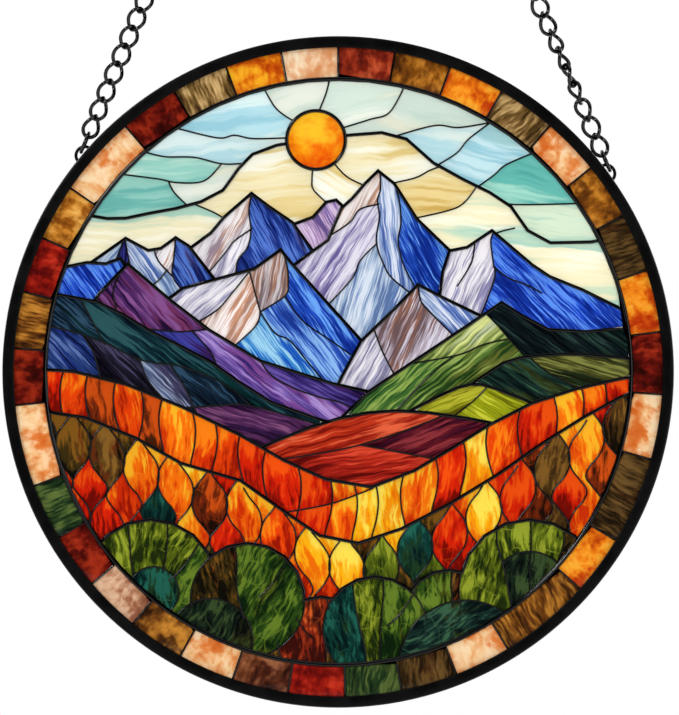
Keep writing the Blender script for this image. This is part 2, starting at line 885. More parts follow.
@dataclass(frozen=True)
class Outline:
    """The edge of a flat glass, seen from the front.

    Attributes:
        sides: One row for each side, with its two ends in millimetres from the panel's centre.
        FACING: How squarely the outline's own face looks forward, as a share.
        MARGIN: How far inside its two ends an outline's height is still measured.
        SCRAP: The gap between its ends, beyond the lead's reach, below which a stretch may be dropped.
        SCRAP_POINTS: The most points of a stretch that may be dropped.
    """

    FACING = 0.9
    MARGIN = 0.1
    SCRAP = 0.5
    SCRAP_POINTS = 6

    sides: np.ndarray

    @classmethod
    def of(cls, obj: Piece, plane: PanelPlane, members: set[int] | None = None) -> "Outline":
        """The outline of a glass, or of one pane of it.

        Args:
            obj: The glass.
            plane: The panel's plane.
            members: The pane's corners, or None for the whole glass.

        Returns:
            The outline.
        """
        shape = bmesh.new()
        shape.from_mesh(obj.data)
        sides = []
        for edge in shape.edges:
            facing = [face.normal.y < -cls.FACING for face in edge.link_faces]
            if sum(facing) == 1 and (members is None or edge.verts[0].index in members):
                a, b = (corner.co - plane.centre for corner in edge.verts)
                sides.append((a.x / MM, a.z / MM, b.x / MM, b.z / MM))
        shape.free()
        return cls(np.array(sides).reshape(-1, 4))

    def holds(self, x: float, z: float) -> bool:
        """Whether a place is inside the outline.

        Args:
            x: The place to the right of the panel's centre, in millimetres.
            z: The place above it.

        Returns:
            Whether it is.
        """
        x0, z0, x1, z1 = self.sides.T
        crosses = (x0 > x) != (x1 > x)
        with np.errstate(divide="ignore", invalid="ignore"):
            height = z0 + (x - x0) * (z1 - z0) / (x1 - x0)
        return bool(np.count_nonzero(crosses & (height > z)) % 2)

    def top(self, x: float) -> float:
        """The outline's highest place.

        Args:
            x: Where it is looked for, to the right of the panel's centre, in millimetres. Beside
                the outline, its nearest end counts.

        Returns:
            The place's height above the panel's centre.
        """
        x = min(max(x, self.sides[:, ::2].min() + self.MARGIN), self.sides[:, ::2].max() - self.MARGIN)
        x0, z0, x1, z1 = self.sides[(self.sides[:, 0] > x) != (self.sides[:, 2] > x)].T
        return float((z0 + (x - x0) * (z1 - z0) / (x1 - x0)).max())

    def edge_between(self, inside: Point, outside: Point) -> Point:
        """The place where a step leaves the outline, found by halving the step.

        Args:
            inside: Where the step begins.
            outside: Where it ends.

        Returns:
            The place, on the inner side.
        """
        a, b = Vector(inside), Vector(outside)
        for _ in range(10):
            middle = (a + b) / 2
            if self.holds(*middle):
                a = middle
            else:
                b = middle
        return tuple(a)

    def runs(self, line: Line, reach: float,
             allowed: Callable[[float, float], bool] = lambda x, z: True) -> list[Line]:
        """The stretches of a line that lie on this glass.

        Args:
            line: The line.
            reach: How far a stretch goes on under the lead where it leaves the glass, in millimetres.
            allowed: A further test that a place on the line has to pass.

        Returns:
            The stretches.
        """
        inside = [self.holds(x, z) and allowed(x, z) for x, z in line]
        stretches: list[Line] = []
        start = None
        for i, held in enumerate([*inside, False]):
            if held and start is None:
                start = i
            if not held and start is not None:
                stretch = list(line[start:i])
                if start > 0:
                    stretch.insert(0, self.end_under_lead(stretch[0], line[start - 1], reach))
                if i < len(line):
                    stretch.append(self.end_under_lead(stretch[-1], line[i], reach))
                gap = math.dist(stretch[0], stretch[-1])
                if gap > reach + self.SCRAP or len(stretch) > self.SCRAP_POINTS:
                    stretches.append(stretch)
                start = None
        return stretches

    def end_under_lead(self, inside: Point, outside: Point, reach: float) -> Point:
        """The end of a stretch that leaves the glass.

        Args:
            inside: The stretch's last place on the glass.
            outside: The line's next place.
            reach: How far beyond the glass's edge the end comes, in millimetres.

        Returns:
            The end.
        """
        edge = Vector(self.edge_between(inside, outside))
        return tuple(edge + (Vector(outside) - Vector(inside)).normalized() * reach)


# ---------------------------------------------------------------- glass


@dataclass(frozen=True)
class Pane:
    """A pane's sheet, found by a place on it.

    Attributes:
        x: The place to the right of the panel's centre, in millimetres.
        z: The place above it.
        sheet: The sheet that it is cut from.
        lean: The direction of its streaks, in degrees anticlockwise from level.
    """

    x: float
    z: float
    sheet: Sheet
    lean: float = Grain.LEVEL.value


def cut_from(sheet: Sheet, *places: Point) -> list[Pane]:
    """Panes that are cut from one sheet.

    Args:
        sheet: The sheet.
        places: A place on each pane, in millimetres from the panel's centre.

    Returns:
        The panes.
    """
    return [Pane(x, z, sheet) for x, z in places]


@dataclass(frozen=True)
class Zone:
    """A part of a row of panes, with the sheets that its panes are cut from.

    Attributes:
        left: Its left end, in millimetres from the panel's middle.
        right: Its right end.
        depth: How deep it reaches below the row's upper edge, in millimetres.
        sheets: The sheets, with how often each is used.
    """

    left: float
    right: float
    depth: float
    sheets: tuple[tuple[Sheet, int], ...]


@dataclass(frozen=True)
class PaneFacts:
    """What is known of one cut pane when its sheet is chosen.

    Attributes:
        x: Its middle to the right of the panel's centre, in millimetres.
        z: Its middle above it.
        outline: Its outline.
        depth: How far its middle lies below the glass's upper edge.
    """

    x: float
    z: float
    outline: Outline
    depth: float


@dataclass
class GlassArea:
    """One area of the picture: its CAD glass cut into panes by fine lead.

    Attributes:
        node: The CAD node that it replaces.
        finish: The glass's finish.
        cuts: The fine lines of lead, each by a few points.
        panes: The panes' sheets.
        seed: The start of this area's chance.
        SEAM_HALF: Half the width of the gap between two panes, in millimetres.
        SAW_HALF: Half the depth that the cuts go through.
        GROWTH: How far the glass is widened into the lead's channel.
        LONGEST_MOVE: How far a sharp corner may move when the glass is widened.
        WALL: How far a wall of the glass may look forward or back, as a share.
        SHARPEST: The least share of an open corner that is reckoned with when the glass is widened.
        UNDER_LEAD: How far a line goes on under the lead around the glass.
        JOINT: How far a line goes on where it ends at another line.
        NEAR_EDGE: How far an end may lie from the glass's edge and still be led on to it.
        VARIATION: How much lighter or darker than its sheet a pane may be, as a share.
    """

    SEAM_HALF = 0.15
    SAW_HALF = 4.0
    GROWTH = 0.4
    LONGEST_MOVE = 0.6
    WALL = 0.5
    SHARPEST = 0.15
    UNDER_LEAD = 1.0
    JOINT = 0.3
    NEAR_EDGE = 1.6
    VARIATION = 0.07

    node: str
    finish: ArtGlass
    cuts: list[Line]
    panes: list[Pane]
    seed: int = 1

    def lines(self, outline: Outline, chance: random.Random) -> list[Line]:
        """The fine lines that lie on this glass.

        Args:
            outline: The glass's outline.
            chance: The source of chance.

        Returns:
            The lines.
        """
        lines: list[Line] = []
        for cut in self.cuts:
            line = smooth_line(cut)
            far = led_on(line, self.NEAR_EDGE)
            near = led_on(line, self.JOINT)
            start, stop = (near[end] if outline.holds(*far[end]) else far[end] for end in (0, -1))
            lines += outline.runs([start, *line, stop], self.UNDER_LEAD)
        return lines

    def sheet_for(self, facts: PaneFacts, chance: random.Random) -> tuple[Sheet, float]:
        """The sheet and the lean of the streaks of one pane.

        Args:
            facts: What is known of the pane.
            chance: The source of chance.

        Returns:
            The sheet and the lean in degrees.
        """
        held = [pane for pane in self.panes if facts.outline.holds(pane.x, pane.z)]
        pane = min(held or self.panes, key=lambda p: math.dist((p.x, p.z), (facts.x, facts.z)))
        return pane.sheet, pane.lean

    def build(self, plane: PanelPlane) -> tuple[Piece, list[Line]]:
        """Cut the panes and colour them.

        Args:
            plane: The panel's plane.

        Returns:
            The panes as one piece, and the lines of lead between them.
        """
        chance = random.Random(self.seed)
        glass = copy_of(self.node, self.node.replace("_glass", "_panes"))
        outline = Outline.of(glass, plane)
        self.grow(glass)
        lines = self.lines(outline, chance)
        if lines:
            saw = plane.strips(lines, self.SEAM_HALF, self.SAW_HALF, "saw")
            apply_modifier(glass, "BOOLEAN", operation="DIFFERENCE", object=saw, solver="EXACT",
                           use_self=True)
            remove(saw)
        self.dress(glass, outline, plane, chance)
        settle(glass)
        glass.data.materials.append(self.finish.material())
        return glass, lines

    def grow(self, glass: Piece) -> None:
        """Widen the glass all round, so that its edge sits in the lead's channel.

        Args:
            glass: The glass.
        """
        shape = bmesh.new()
        shape.from_mesh(glass.data)
        moves = {}
        for corner in shape.verts:
            walls = [face.normal for face in corner.link_faces if abs(face.normal.y) < self.WALL]
            if not walls:
                continue
            first = walls[0]
            second = min(walls, key=first.dot)
            opening = max(self.SHARPEST, 1 + first.dot(second))
            move = (first + second) / opening * self.GROWTH * MM
            moves[corner] = move * min(1.0, self.LONGEST_MOVE * MM / move.length)
        for corner, move in moves.items():
            corner.co += move
        shape.to_mesh(glass.data)
        shape.free()

    def dress(self, glass: Piece, outline: Outline, plane: PanelPlane,
              chance: random.Random) -> None:
        """Give each pane its four colours, and the two maps that the streaks follow.

        Args:
            glass: The cut glass.
            outline: The whole glass's outline.
            plane: The panel's plane.
            chance: The source of chance.
        """
        mesh = glass.data
        groups = loose_parts(mesh)
        places = np.array([corner.co for corner in mesh.vertices]) - np.array(plane.centre)
        flat = places[:, ::2] / MM
        colours = {name: np.ones((len(flat), 4), np.float32) for name in COLOUR_NAMES}
        grain, spread = np.zeros((len(flat), 2)), np.zeros((len(flat), 2))

        def order(group: list[int]) -> tuple[float, float]:
            """Panes are dressed from left to right, and from below where they stand over each other."""
            across, up = flat[group].mean(0)
            return round(float(across), 1), float(up)

        for group in sorted(groups, key=order):
            low, high = flat[group].min(0), flat[group].max(0)
            middle = (low + high) / 2
            depth = outline.top(middle[0]) - middle[1]
            facts = PaneFacts(*middle, Outline.of(glass, plane, set(group)), depth)
            sheet, lean = self.sheet_for(facts, chance)
            value = 1 + chance.uniform(-self.VARIATION, self.VARIATION)
            for name, colour in zip(colours, sheet.value):
                colours[name][group, :3] = np.minimum(linear(colour) * value, 1.0)
            turn = math.radians(lean)
            along = np.array((math.cos(turn), math.sin(turn)))
            across = np.array((-along[1], along[0]))
            start = np.array((chance.uniform(0, 40), chance.uniform(0, 40)))
            grain[group] = np.column_stack((flat[group] @ along, flat[group] @ across)) / 10 + start
            spread[group] = (flat[group] - low) / np.maximum(high - low, 0.1)
        for name, values in colours.items():
            layer = mesh.color_attributes.new(name, "FLOAT_COLOR", "POINT")
            layer.data.foreach_set("color", values.ravel())
        corners = np.empty(len(mesh.loops), np.int32)
        mesh.loops.foreach_get("vertex_index", corners)
        for name, values in (("grain", grain), ("pane", spread)):
            layer = mesh.uv_layers.get(name) or mesh.uv_layers.new(name=name)
            layer.data.foreach_set("uv", values[corners].astype(np.float32).ravel())


def loose_parts(mesh: bpy.types.Mesh) -> list[list[int]]:
    """The loose parts of a mesh.

    Args:
        mesh: The mesh.

    Returns:
        The corners of each part, by their numbers.
    """
    parent = list(range(len(mesh.vertices)))

    def root(i: int) -> int:
        """The corner that stands for the part of this one.

        Args:
            i: The corner.

        Returns:
            The corner that stands for its part.
        """
        while parent[i] != i:
            parent[i] = parent[parent[i]]
            i = parent[i]
        return i

    for a, b in mesh.edge_keys:
        parent[root(a)] = root(b)
    groups: dict[int, list[int]] = {}
    for i in range(len(parent)):
        groups.setdefault(root(i), []).append(i)
    return list(groups.values())


@dataclass
class ZonedRow(GlassArea):
    """A row of upright panes. Those that hold none of its places have their sheets drawn by chance, by zone.

    Attributes:
        zones: The zones, the upper ones first.
        lean: How far the streaks may lean, in degrees.
    """

    zones: tuple[Zone, ...] = ()
    lean: float = 12.0

    def sheet_for(self, facts: PaneFacts, chance: random.Random) -> tuple[Sheet, float]:
        """The sheet of a place that the pane holds, or one of its zone's, with upright streaks.

        Args:
            facts: What is known of the pane.
            chance: The source of chance.

        Returns:
            The sheet and the lean in degrees.
        """
        zone = next(z for z in self.zones if z.left <= facts.x < z.right and facts.depth < z.depth)
        sheets, weights = zip(*zone.sheets)
        drawn = chance.choices(sheets, weights)[0]
        held = [pane.sheet for pane in self.panes if facts.outline.holds(pane.x, pane.z)]
        return [*held, drawn][0], Grain.UPRIGHT.value + chance.uniform(-self.lean, self.lean)


@dataclass
class PaneRow(ZonedRow):
    """A band of tall panes side by side.

    Attributes:
        width: The narrowest and the widest pane, in millimetres.
        sway: How far a line between two panes bends.
        height: The band's greatest height.
        ends: Where the first line stands, and where no more are drawn.
        tilt: How far a line's foot may stand beside its head.
        beyond: How far a line goes on above and below the band.
    """

    width: tuple[float, float] = (6.5, 10.0)
    sway: float = 1.1
    height: float = 24.0
    ends: tuple[float, float] = (-88.0, 86.0)
    tilt: float = 1.5
    beyond: float = 2.0

    def lines(self, outline: Outline, chance: random.Random) -> list[Line]:
        """The upright lines, one between each two panes.

        Args:
            outline: The glass's outline.
            chance: The source of chance.

        Returns:
            The lines.
        """
        lines = super().lines(outline, chance)
        x, stop = self.ends
        while x < stop:
            step = chance.uniform(*self.width)
            top = outline.top(x)
            lean = chance.uniform(-self.tilt, self.tilt)
            bend = chance.choice((-1, 1)) * self.sway
            head, length = top + self.beyond, self.height + 2 * self.beyond
            upright = [
                (x + lean * share + bend * math.sin(2 * math.pi * share), head - length * share)
                for share in (0, 0.2, 0.4, 0.6, 0.8, 1)
            ]
            lines += outline.runs(smooth_line(upright), self.UNDER_LEAD)
            x += step
        return lines


@dataclass
class LeafRow(ZonedRow):
    """Pointed leaves in staggered rows, made by pairs of waving lines that meet and part.

    Attributes:
        width: A leaf's width, in millimetres.
        height: A leaf's height.
        depth: How far the rows go down.
        meeting: How far two lines overlap where they meet, as a share of half a leaf's width.
        waves: The lines on each side of the panel's middle.
        step: The distance between two points of a line.
        above: How far a line begins above the glass's upper edge.
        phase: How far above the same edge a line's first wave begins.
        drift: How far a wave may be shifted along its line.
        belly: How far a leaf's widest place is drawn to one end of it, in radians of a wave.
        uneven: How much lines lie above or below each other, and how fast that changes between them.
    """

    width: float = 10.2
    height: float = 22.0
    depth: float = 52.0
    meeting: float = 0.04
    waves: int = 20
    step: int = 3
    above: int = 2
    phase: float = 3.0
    drift: float = 0.9
    belly: float = 0.35
    uneven: tuple[float, float] = (0.8, 1.7)

    def lines(self, outline: Outline, chance: random.Random) -> list[Line]:
        """The waving lines, each nearly a mirror of the next.

        Args:
            outline: The glass's outline.
            chance: The source of chance.

        Returns:
            The lines.
        """
        lines = super().lines(outline, chance)
        half = self.width / 2
        reach = half * (0.5 + self.meeting)
        rise, change = self.uneven
        for k in range(-self.waves, self.waves):
            side = -1 if k % 2 else 1
            drift = chance.uniform(-self.drift, self.drift)
            wave = []
            for down in range(-self.above, round(self.depth) + 1, self.step):
                turn = 2 * math.pi * (down + self.phase + drift) / self.height
                x = half * k + side * reach * math.cos(turn + self.belly * math.sin(turn))
                wave.append((x, outline.top(half * k) - down + rise * math.sin(k * change)))
            lines += outline.runs(smooth_line(wave), self.UNDER_LEAD)
        return lines


@dataclass(frozen=True)
class Bush:
    """A round bush.

    Attributes:
        x: Its middle to the right of the panel's centre, in millimetres.
        z: Its middle above it.
        radius: Its radius.
        stems: Where its stems reach its edge, as shares of its radius to the right of its middle.
        forks: Where its side branches reach its edge.
        ring: The radius of the arc across its stems, as a share of its own, or 0 for none.
        STEM: A stem's places from its tip down, each with its height as a share of the radius and
            its distance from the middle as a share of the tip's.
        SWAY: How far a stem sways between those places, as a share of the radius.
        FORK: A side branch's places, as shares of its tip's distance and height.
        OVERHANG: How far the arc goes on beyond the last stems, in degrees.
        LOWEST: How low the arc may cross a stem, as a share of the radius.
    """

    STEM = ((1.15, 1.0), (0.7, 0.95), (0.2, 0.75), (-0.4, 0.45), (-1.1, 0.3))
    SWAY = 0.08
    FORK = ((0.25, 0.05), (0.55, 0.3), (0.95, 0.85))
    OVERHANG = 2
    LOWEST = -0.2

    x: float
    z: float
    radius: float
    stems: tuple[float, ...] = ()
    forks: tuple[float, ...] = ()
    ring: float = 0.0

    def covers(self, x: float, z: float) -> bool:
        """Whether a place lies on the bush."""
        return math.dist((x, z), (self.x, self.z)) < self.radius

    def arc(self, share: float, start: float, stop: float) -> Line:
        """An arc about the bush's middle.

        Args:
            share: Its radius, as a share of the bush's.
            start: The clock angle that it starts from.
            stop: The clock angle that it ends at.

        Returns:
            The arc's points.
        """
        radius = share * self.radius
        steps = max(2, round(math.radians(abs(stop - start)) * radius))
        turns = (math.radians(start + (stop - start) * i / steps) for i in range(steps + 1))
        return [(self.x + radius * math.sin(turn), self.z + radius * math.cos(turn)) for turn in turns]

    def veins(self, chance: random.Random) -> list[Line]:
        """The stems, the arc across them and the side branches.

        Args:
            chance: The source of chance.

        Returns:
            The lines.
        """
        lines = []
        for stem in self.stems:
            sway = chance.uniform(-self.SWAY, self.SWAY)
            lines.append(smooth_line([
                (self.x + self.radius * (stem * out + sway * (i % 2)), self.z + self.radius * up)
                for i, (up, out) in enumerate(self.STEM)
            ]))
        if self.ring:
            tips = sorted(self.crossing(line) for line in lines)
            lines.append(self.arc(self.ring, tips[0] - self.OVERHANG, tips[-1] + self.OVERHANG))
        for fork in self.forks:
            lines.append(smooth_line([
                (self.x + self.radius * (fork * out), self.z + self.radius * up) for out, up in self.FORK
            ]))
        return lines

    def crossing(self, stem: Line) -> float:
        """The clock angle at which a stem crosses the arc.

        Args:
            stem: The stem's points.

        Returns:
            The angle in degrees.
        """
        x, z = min(
            ((x - self.x, z - self.z) for x, z in stem if z > self.z + self.LOWEST * self.radius),
            key=lambda place: abs(math.hypot(*place) - self.ring * self.radius))
        return math.degrees(math.atan2(x, z))


@dataclass
class Bushes(GlassArea):
    """The bushes at the picture's foot, with their stems and the low lobes in front of them.

    Attributes:
        bushes: The bushes, the front ones first.
        behind: How many of the last bushes have no line of lead of their own against their neighbours.
    """

    bushes: tuple[Bush, ...] = ()
    behind: int = 1

    def lines(self, outline: Outline, chance: random.Random) -> list[Line]:
        """The bushes' edges and stems, as far as nothing stands before them.

        Args:
            outline: The glass's outline.
            chance: The source of chance.

        Returns:
            The lines.
        """
        lines = super().lines(outline, chance)
        for i, bush in enumerate(self.bushes):
            nearer = self.bushes[:i]

            def seen(x: float, z: float) -> bool:
                """Whether nothing stands before this place."""
                return not any(other.covers(x, z) for other in nearer)

            def seen_on_bush(x: float, z: float) -> bool:
                """Whether this place is on the bush and seen."""
                return bush.covers(x, z) and seen(x, z)

            if i < len(self.bushes) - self.behind:
                lines += outline.runs(bush.arc(1.0, -180, 180), self.UNDER_LEAD, seen)
            for vein in bush.veins(chance):
                lines += outline.runs(vein, self.UNDER_LEAD, seen_on_bush)
        return lines


# ---------------------------------------------------------------- lead, rim and chain


@dataclass
class LeadWork:
    """All the lead of the panel.

    Attributes:
        round_steps: The width and the rise of each step that rounds the lead's faces, in millimetres.
        fine: Half the width and half the depth of a fine line of lead.
        picture_ring: The radius, half the width and half the depth of the ring around the picture.
        sun_ring: The same of the ring around the sun.
        bead_sides: The sides of a bead's section.
        ring_steps: The steps of a full turn of a ring.
        LEVEL: How squarely a face that is rounded looks forward or back, as a share.
    """

    LEVEL = 0.99

    round_steps: tuple[Point, ...] = ((0.11, 0.15), (0.12, 0.07))
    fine: tuple[float, float] = (0.25, 1.95)
    picture_ring: tuple[float, float, float] = (87.3, 0.66, 2.3)
    sun_ring: tuple[float, float, float] = (8.75, 0.55, 2.25)
    bead_sides: int = 14
    ring_steps: int = 240

    def network(self) -> Piece:
        """The lead between the areas: the CAD lead with rounded faces.

        Returns:
            The lead.
        """
        lead = copy_of("leading", "lead_network")
        for side in (-1, 1):
            for width, rise in self.round_steps:
                face_depth = max(side * corner.co.y for corner in lead.data.vertices)
                begin_edit(lead)
                bpy.ops.mesh.select_mode(type="FACE")
                bpy.ops.mesh.select_all(action="DESELECT")
                end_edit()
                for face in lead.data.polygons:
                    flat = side * face.normal.y > self.LEVEL
                    face.select = flat and side * face.center.y > face_depth - TOUCH
                pick(lead)
                bpy.ops.object.mode_set(mode="EDIT")
                bpy.ops.mesh.inset(thickness=width * MM, depth=rise * MM)
                end_edit()
        settle(lead, STEPPED_WORK)
        return lead

    def fine_lead(self, lines: list[Line], plane: PanelPlane) -> Piece:
        """The fine lead between the panes of each area.

        Args:
            lines: The lines.
            plane: The panel's plane.

        Returns:
            The lead.
        """
        fine = plane.strips(lines, *self.fine, "fine_lead", 1)
        settle(fine, ROUND_WORK)
        return fine

    def bead(self, size: tuple[float, float, float], centre: Vector, plane: PanelPlane,
             name: str) -> Piece:
        """A round bead of lead in a ring.

        Args:
            size: The ring's radius, half its width and half its depth, in millimetres.
            centre: The ring's centre.
            plane: The panel's plane.
            name: The new object's name.

        Returns:
            The ring.
        """
        radius, half, depth = size
        profile = []
        for i in range(self.bead_sides):
            turn = 2 * math.pi * (i + 0.5) / self.bead_sides
            side = 1 if math.cos(turn) > 0 else -1
            profile.append((radius + half * math.sin(turn), side * (depth - half) + half * math.cos(turn)))
        ring = plane.turned(profile, centre, self.ring_steps, name)
        settle(ring, ROUND_WORK)
        return ring

    def build(self, fine_lines: list[Line], plane: PanelPlane) -> list[Piece]:
        """All the lead, the network first.

        Args:
            fine_lines: The lines of the fine lead.
            plane: The panel's plane.

        Returns:
            The pieces.
        """
        low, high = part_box("sun_glass")
        return [
            self.network(), self.fine_lead(fine_lines, plane),
            self.bead(self.picture_ring, plane.centre, plane, "picture_ring"),
            self.bead(self.sun_ring, (low + high) / 2, plane, "sun_ring"),
        ]


@dataclass
class Rim:
    """The black metal rim: a channel that holds the glass, with two wire eyes welded on it.

    Attributes:
        radius: The rim's outer radius, in millimetres.
        lip: The radius of its lips' inner edge.
        floor: The radius of the channel's floor.
        half_depth: Half the rim's depth.
        lip_thickness: The thickness of a lip.
        eye_clocks: The clock angles of the two eyes.
        eye_half: Half the length of an eye.
        eye_rise: How far an eye stands out.
        eye_wire: The radius of an eye's wire.
        eye_weld: How far an eye's foot is sunk in the rim.
        eye_sink: How far the foot of an eye bends on below its middle.
        crown: How far the outer edges slope.
        soft_edge: The width of the softened edges.
        ring_steps: The steps of the rim's full turn.
        eye_steps: The steps of an eye's wire.
    """

    radius: float = 100.0
    lip: float = 96.6
    floor: float = 98.8
    half_depth: float = 3.0
    lip_thickness: float = 0.7
    eye_clocks: tuple[float, float] = (-49.5, 53.5)
    eye_half: float = 2.6
    eye_rise: float = 2.5
    eye_wire: float = 0.5
    eye_weld: float = 0.55
    eye_sink: float = 0.15
    crown: float = 0.35
    soft_edge: float = 0.22
    ring_steps: int = 288
    eye_steps: int = 40

    def channel(self, plane: PanelPlane) -> Piece:
        """The channel ring with softened edges.

        Args:
            plane: The panel's plane.

        Returns:
            The ring.
        """
        inside = self.half_depth - self.lip_thickness
        shoulder = self.half_depth - 2 * self.crown
        profile = [
            (self.radius - self.crown, -self.half_depth), (self.radius, -shoulder),
            (self.radius, shoulder), (self.radius - self.crown, self.half_depth),
            (self.lip, self.half_depth), (self.lip, inside), (self.floor, inside),
            (self.floor, -inside), (self.lip, -inside), (self.lip, -self.half_depth),
        ]
        ring = plane.turned(profile, plane.centre, self.ring_steps, "rim_channel")
        apply_modifier(ring, "BEVEL", width=self.soft_edge * MM, segments=3, limit_method="ANGLE",
                       angle_limit=math.radians(30))
        settle(ring, ROUND_WORK)
        return ring

    def eye(self, clock: float, plane: PanelPlane) -> Piece:
        """One wire eye on the rim's outside.

        Args:
            clock: Its clock angle.
            plane: The panel's plane.

        Returns:
            The eye.
        """
        foot = plane.clock(clock, self.radius - self.eye_weld)
        out = (foot - plane.centre).normalized()
        side = Vector((out.z, 0.0, -out.x))
        path = []
        for i in range(self.eye_steps):
            turn = 2 * math.pi * i / self.eye_steps
            rise = self.eye_rise if math.sin(turn) > 0 else self.eye_sink
            path.append(foot + (side * self.eye_half * math.cos(turn) + out * rise * math.sin(turn)) * MM)
        eye = wire_loop(path, self.eye_wire * MM, "eye", 3)
        settle(eye, ROUND_WORK)
        return eye

    def build(self, plane: PanelPlane) -> Piece:
        """The channel with its eyes, as one piece."""
        eyes = [self.eye(clock, plane) for clock in self.eye_clocks]
        return join([self.channel(plane), *eyes], "rim_and_eyes")


@dataclass(frozen=True)
class Hang:
    """How one run of chain hangs.

    Attributes:
        name: The side that it hangs on.
        side: -1 on the left and 1 on the right.
        clock: The clock angle of the eye that it hangs from.
        turns: The first and the last link's turn about the run, in degrees.
        slowing: The length over which the turning slows down, in millimetres.
    """

    name: str
    side: int
    clock: float
    turns: tuple[float, float]
    slowing: float


@dataclass
class Chain:
    """The twisted curb chain, its two jump rings and the level link that it hangs by.

    Attributes:
        half_length: Half a link's length along its wire's middle, in millimetres.
        half_width: Half its width.
        wire: The radius of its wire.
        pitch: The distance between two links.
        twist: How far each end of a link is turned from its middle, in degrees.
        ring_radius: A jump ring's radius.
        ring_wire: The radius of its wire.
        seat: How far beyond the rim a jump ring bears.
        contact: The distance from a jump ring's seat to the first link's end.
        hooked_at: Where a run's last link hangs in the level link, from that link's middle.
        hangs: How the two runs hang.
        link_steps: The steps of a link's wire.
        ring_segments: The steps of a jump ring and of its wire's section.
    """

    half_length: float = 3.43
    half_width: float = 2.43
    wire: float = 0.575
    pitch: float = 5.7
    twist: float = 45.0
    ring_radius: float = 3.1
    ring_wire: float = 0.5
    seat: float = 0.8
    contact: float = 4.92
    hooked_at: Point = (1.22, -2.2)
    hangs: tuple[Hang, Hang] = (
        Hang("left", -1, Rim.eye_clocks[0], (32, -135), 400.0),
        Hang("right", 1, Rim.eye_clocks[1], (20, -315), 60.0),
    )
    link_steps: int = 28
    ring_segments: tuple[int, int] = (40, 12)

    def link(self, twist: float) -> Piece:
        """An oval link that stands on Z at the origin, as the pattern for the others.

        Args:
            twist: How far each of its ends is turned from its middle, in degrees.

        Returns:
            The link.
        """
        path = []
        for i in range(self.link_steps):
            turn = 2 * math.pi * i / self.link_steps
            height = self.half_length * math.cos(turn)
            bend = math.radians(twist) * height / self.half_length
            width = self.half_width * math.sin(turn)
            path.append(Vector((width * math.cos(bend), width * math.sin(bend), height)) * MM)
        link = wire_loop(path, self.wire * MM, "link", 2)
        settle(link, ROUND_WORK)
        return link

    def run(self, hang: Hang, plane: PanelPlane) -> tuple[Piece, Piece]:
        """One run of chain with its jump ring.

        Args:
            hang: How it hangs.
            plane: The panel's plane.

        Returns:
            The jump ring and the run.
        """
        seat = plane.clock(hang.clock, plane.radius / MM + self.seat)
        hook = Vector((hang.side * self.hooked_at[0], 0.0, self.hooked_at[1])) * MM
        up = (hook - seat).normalized()
        lean = math.atan2(up.x, up.z)
        put_down()
        around, section = self.ring_segments
        bpy.ops.mesh.primitive_torus_add(
            major_radius=self.ring_radius * MM, minor_radius=self.ring_wire * MM, major_segments=around,
            minor_segments=section, location=seat + up * self.ring_radius * MM,
            rotation=(0.0, lean + math.pi / 2, 0.0))
        ring = bpy.context.view_layer.objects.active
        ring.name = ring.data.name = f"ring_{hang.name}"
        settle(ring, ROUND_WORK)

        bottom = seat + up * self.contact * MM
        length = (hook - bottom).length / MM - 2 * self.half_length
        count = round(length / self.pitch) + 1
        pitch = length / (count - 1)
        first, last = hang.turns
        pattern = self.link(self.twist)
        links = []
        for i in range(count):
            share = (1 - math.exp(-i * pitch / hang.slowing)) / (1 - math.exp(-length / hang.slowing))
            turn = math.radians(first + (last - first) * share)
            place = bottom + up * (self.half_length + i * pitch) * MM
            link = bpy.data.objects.new(f"link_{i}", pattern.data.copy())
            link.data.transform(
                Matrix.Translation(place) @ Matrix.Rotation(lean, 4, "Y") @ Matrix.Rotation(turn, 4, "Z"))
            bpy.context.scene.collection.objects.link(link)
            links.append(link)
        remove(pattern)
        run = join(links, f"curb_chain_{hang.name}")
        settle(run, ROUND_WORK)
        return ring, run

    def level_link(self) -> Piece:
        """The untwisted link at the top, which a hook goes through.

        Returns:
            The link.
        """
        link = self.link(0.0)
        low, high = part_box("hanging_link")
        link.data.transform(Matrix.Translation((low + high) / 2) @ Matrix.Rotation(math.pi / 2, 4, "Y"))
        link.name = link.data.name = "level_link"
        return link

    def build(self, plane: PanelPlane) -> dict[str, Piece]:
        """The whole chain.

        Args:
            plane: The panel's plane.

        Returns:
            Each piece by the CAD node that it replaces.
        """
        pieces = {}
        for hang in self.hangs:
            ring, run = self.run(hang, plane)
            pieces[f"jump_ring_{hang.name}"] = ring
            pieces[f"chain_{hang.name}"] = run
        return {**pieces, "hanging_link": self.level_link()}


# ---------------------------------------------------------------- the border


@dataclass
class TileSet(GlassArea):
    """Tiles of one glass, each with its streaks across or along the border.

    Attributes:
        NEAR: How near an odd tile's place a tile's middle lies, in millimetres.
        SWAY: How far the streaks may lean from the border's own direction, in degrees.
    """

    NEAR = 6.0
    SWAY = 15.0

    def sheet_for(self, facts: PaneFacts, chance: random.Random) -> tuple[Sheet, float]:
        """The tiles' sheet, or an odd tile's own, with the streaks turned with the border.

        Args:
            facts: What is known of the tile.
            chance: The source of chance.

        Returns:
            The sheet and the lean in degrees.
        """
        clock = math.degrees(math.atan2(facts.x, facts.z))
        own = [tile for tile in self.panes if math.dist((tile.x, tile.z), (facts.x, facts.z)) < self.NEAR]
        lean = Grain.UPRIGHT.value - clock + chance.uniform(-self.SWAY, self.SWAY)
        return (own or self.panes)[0].sheet, lean


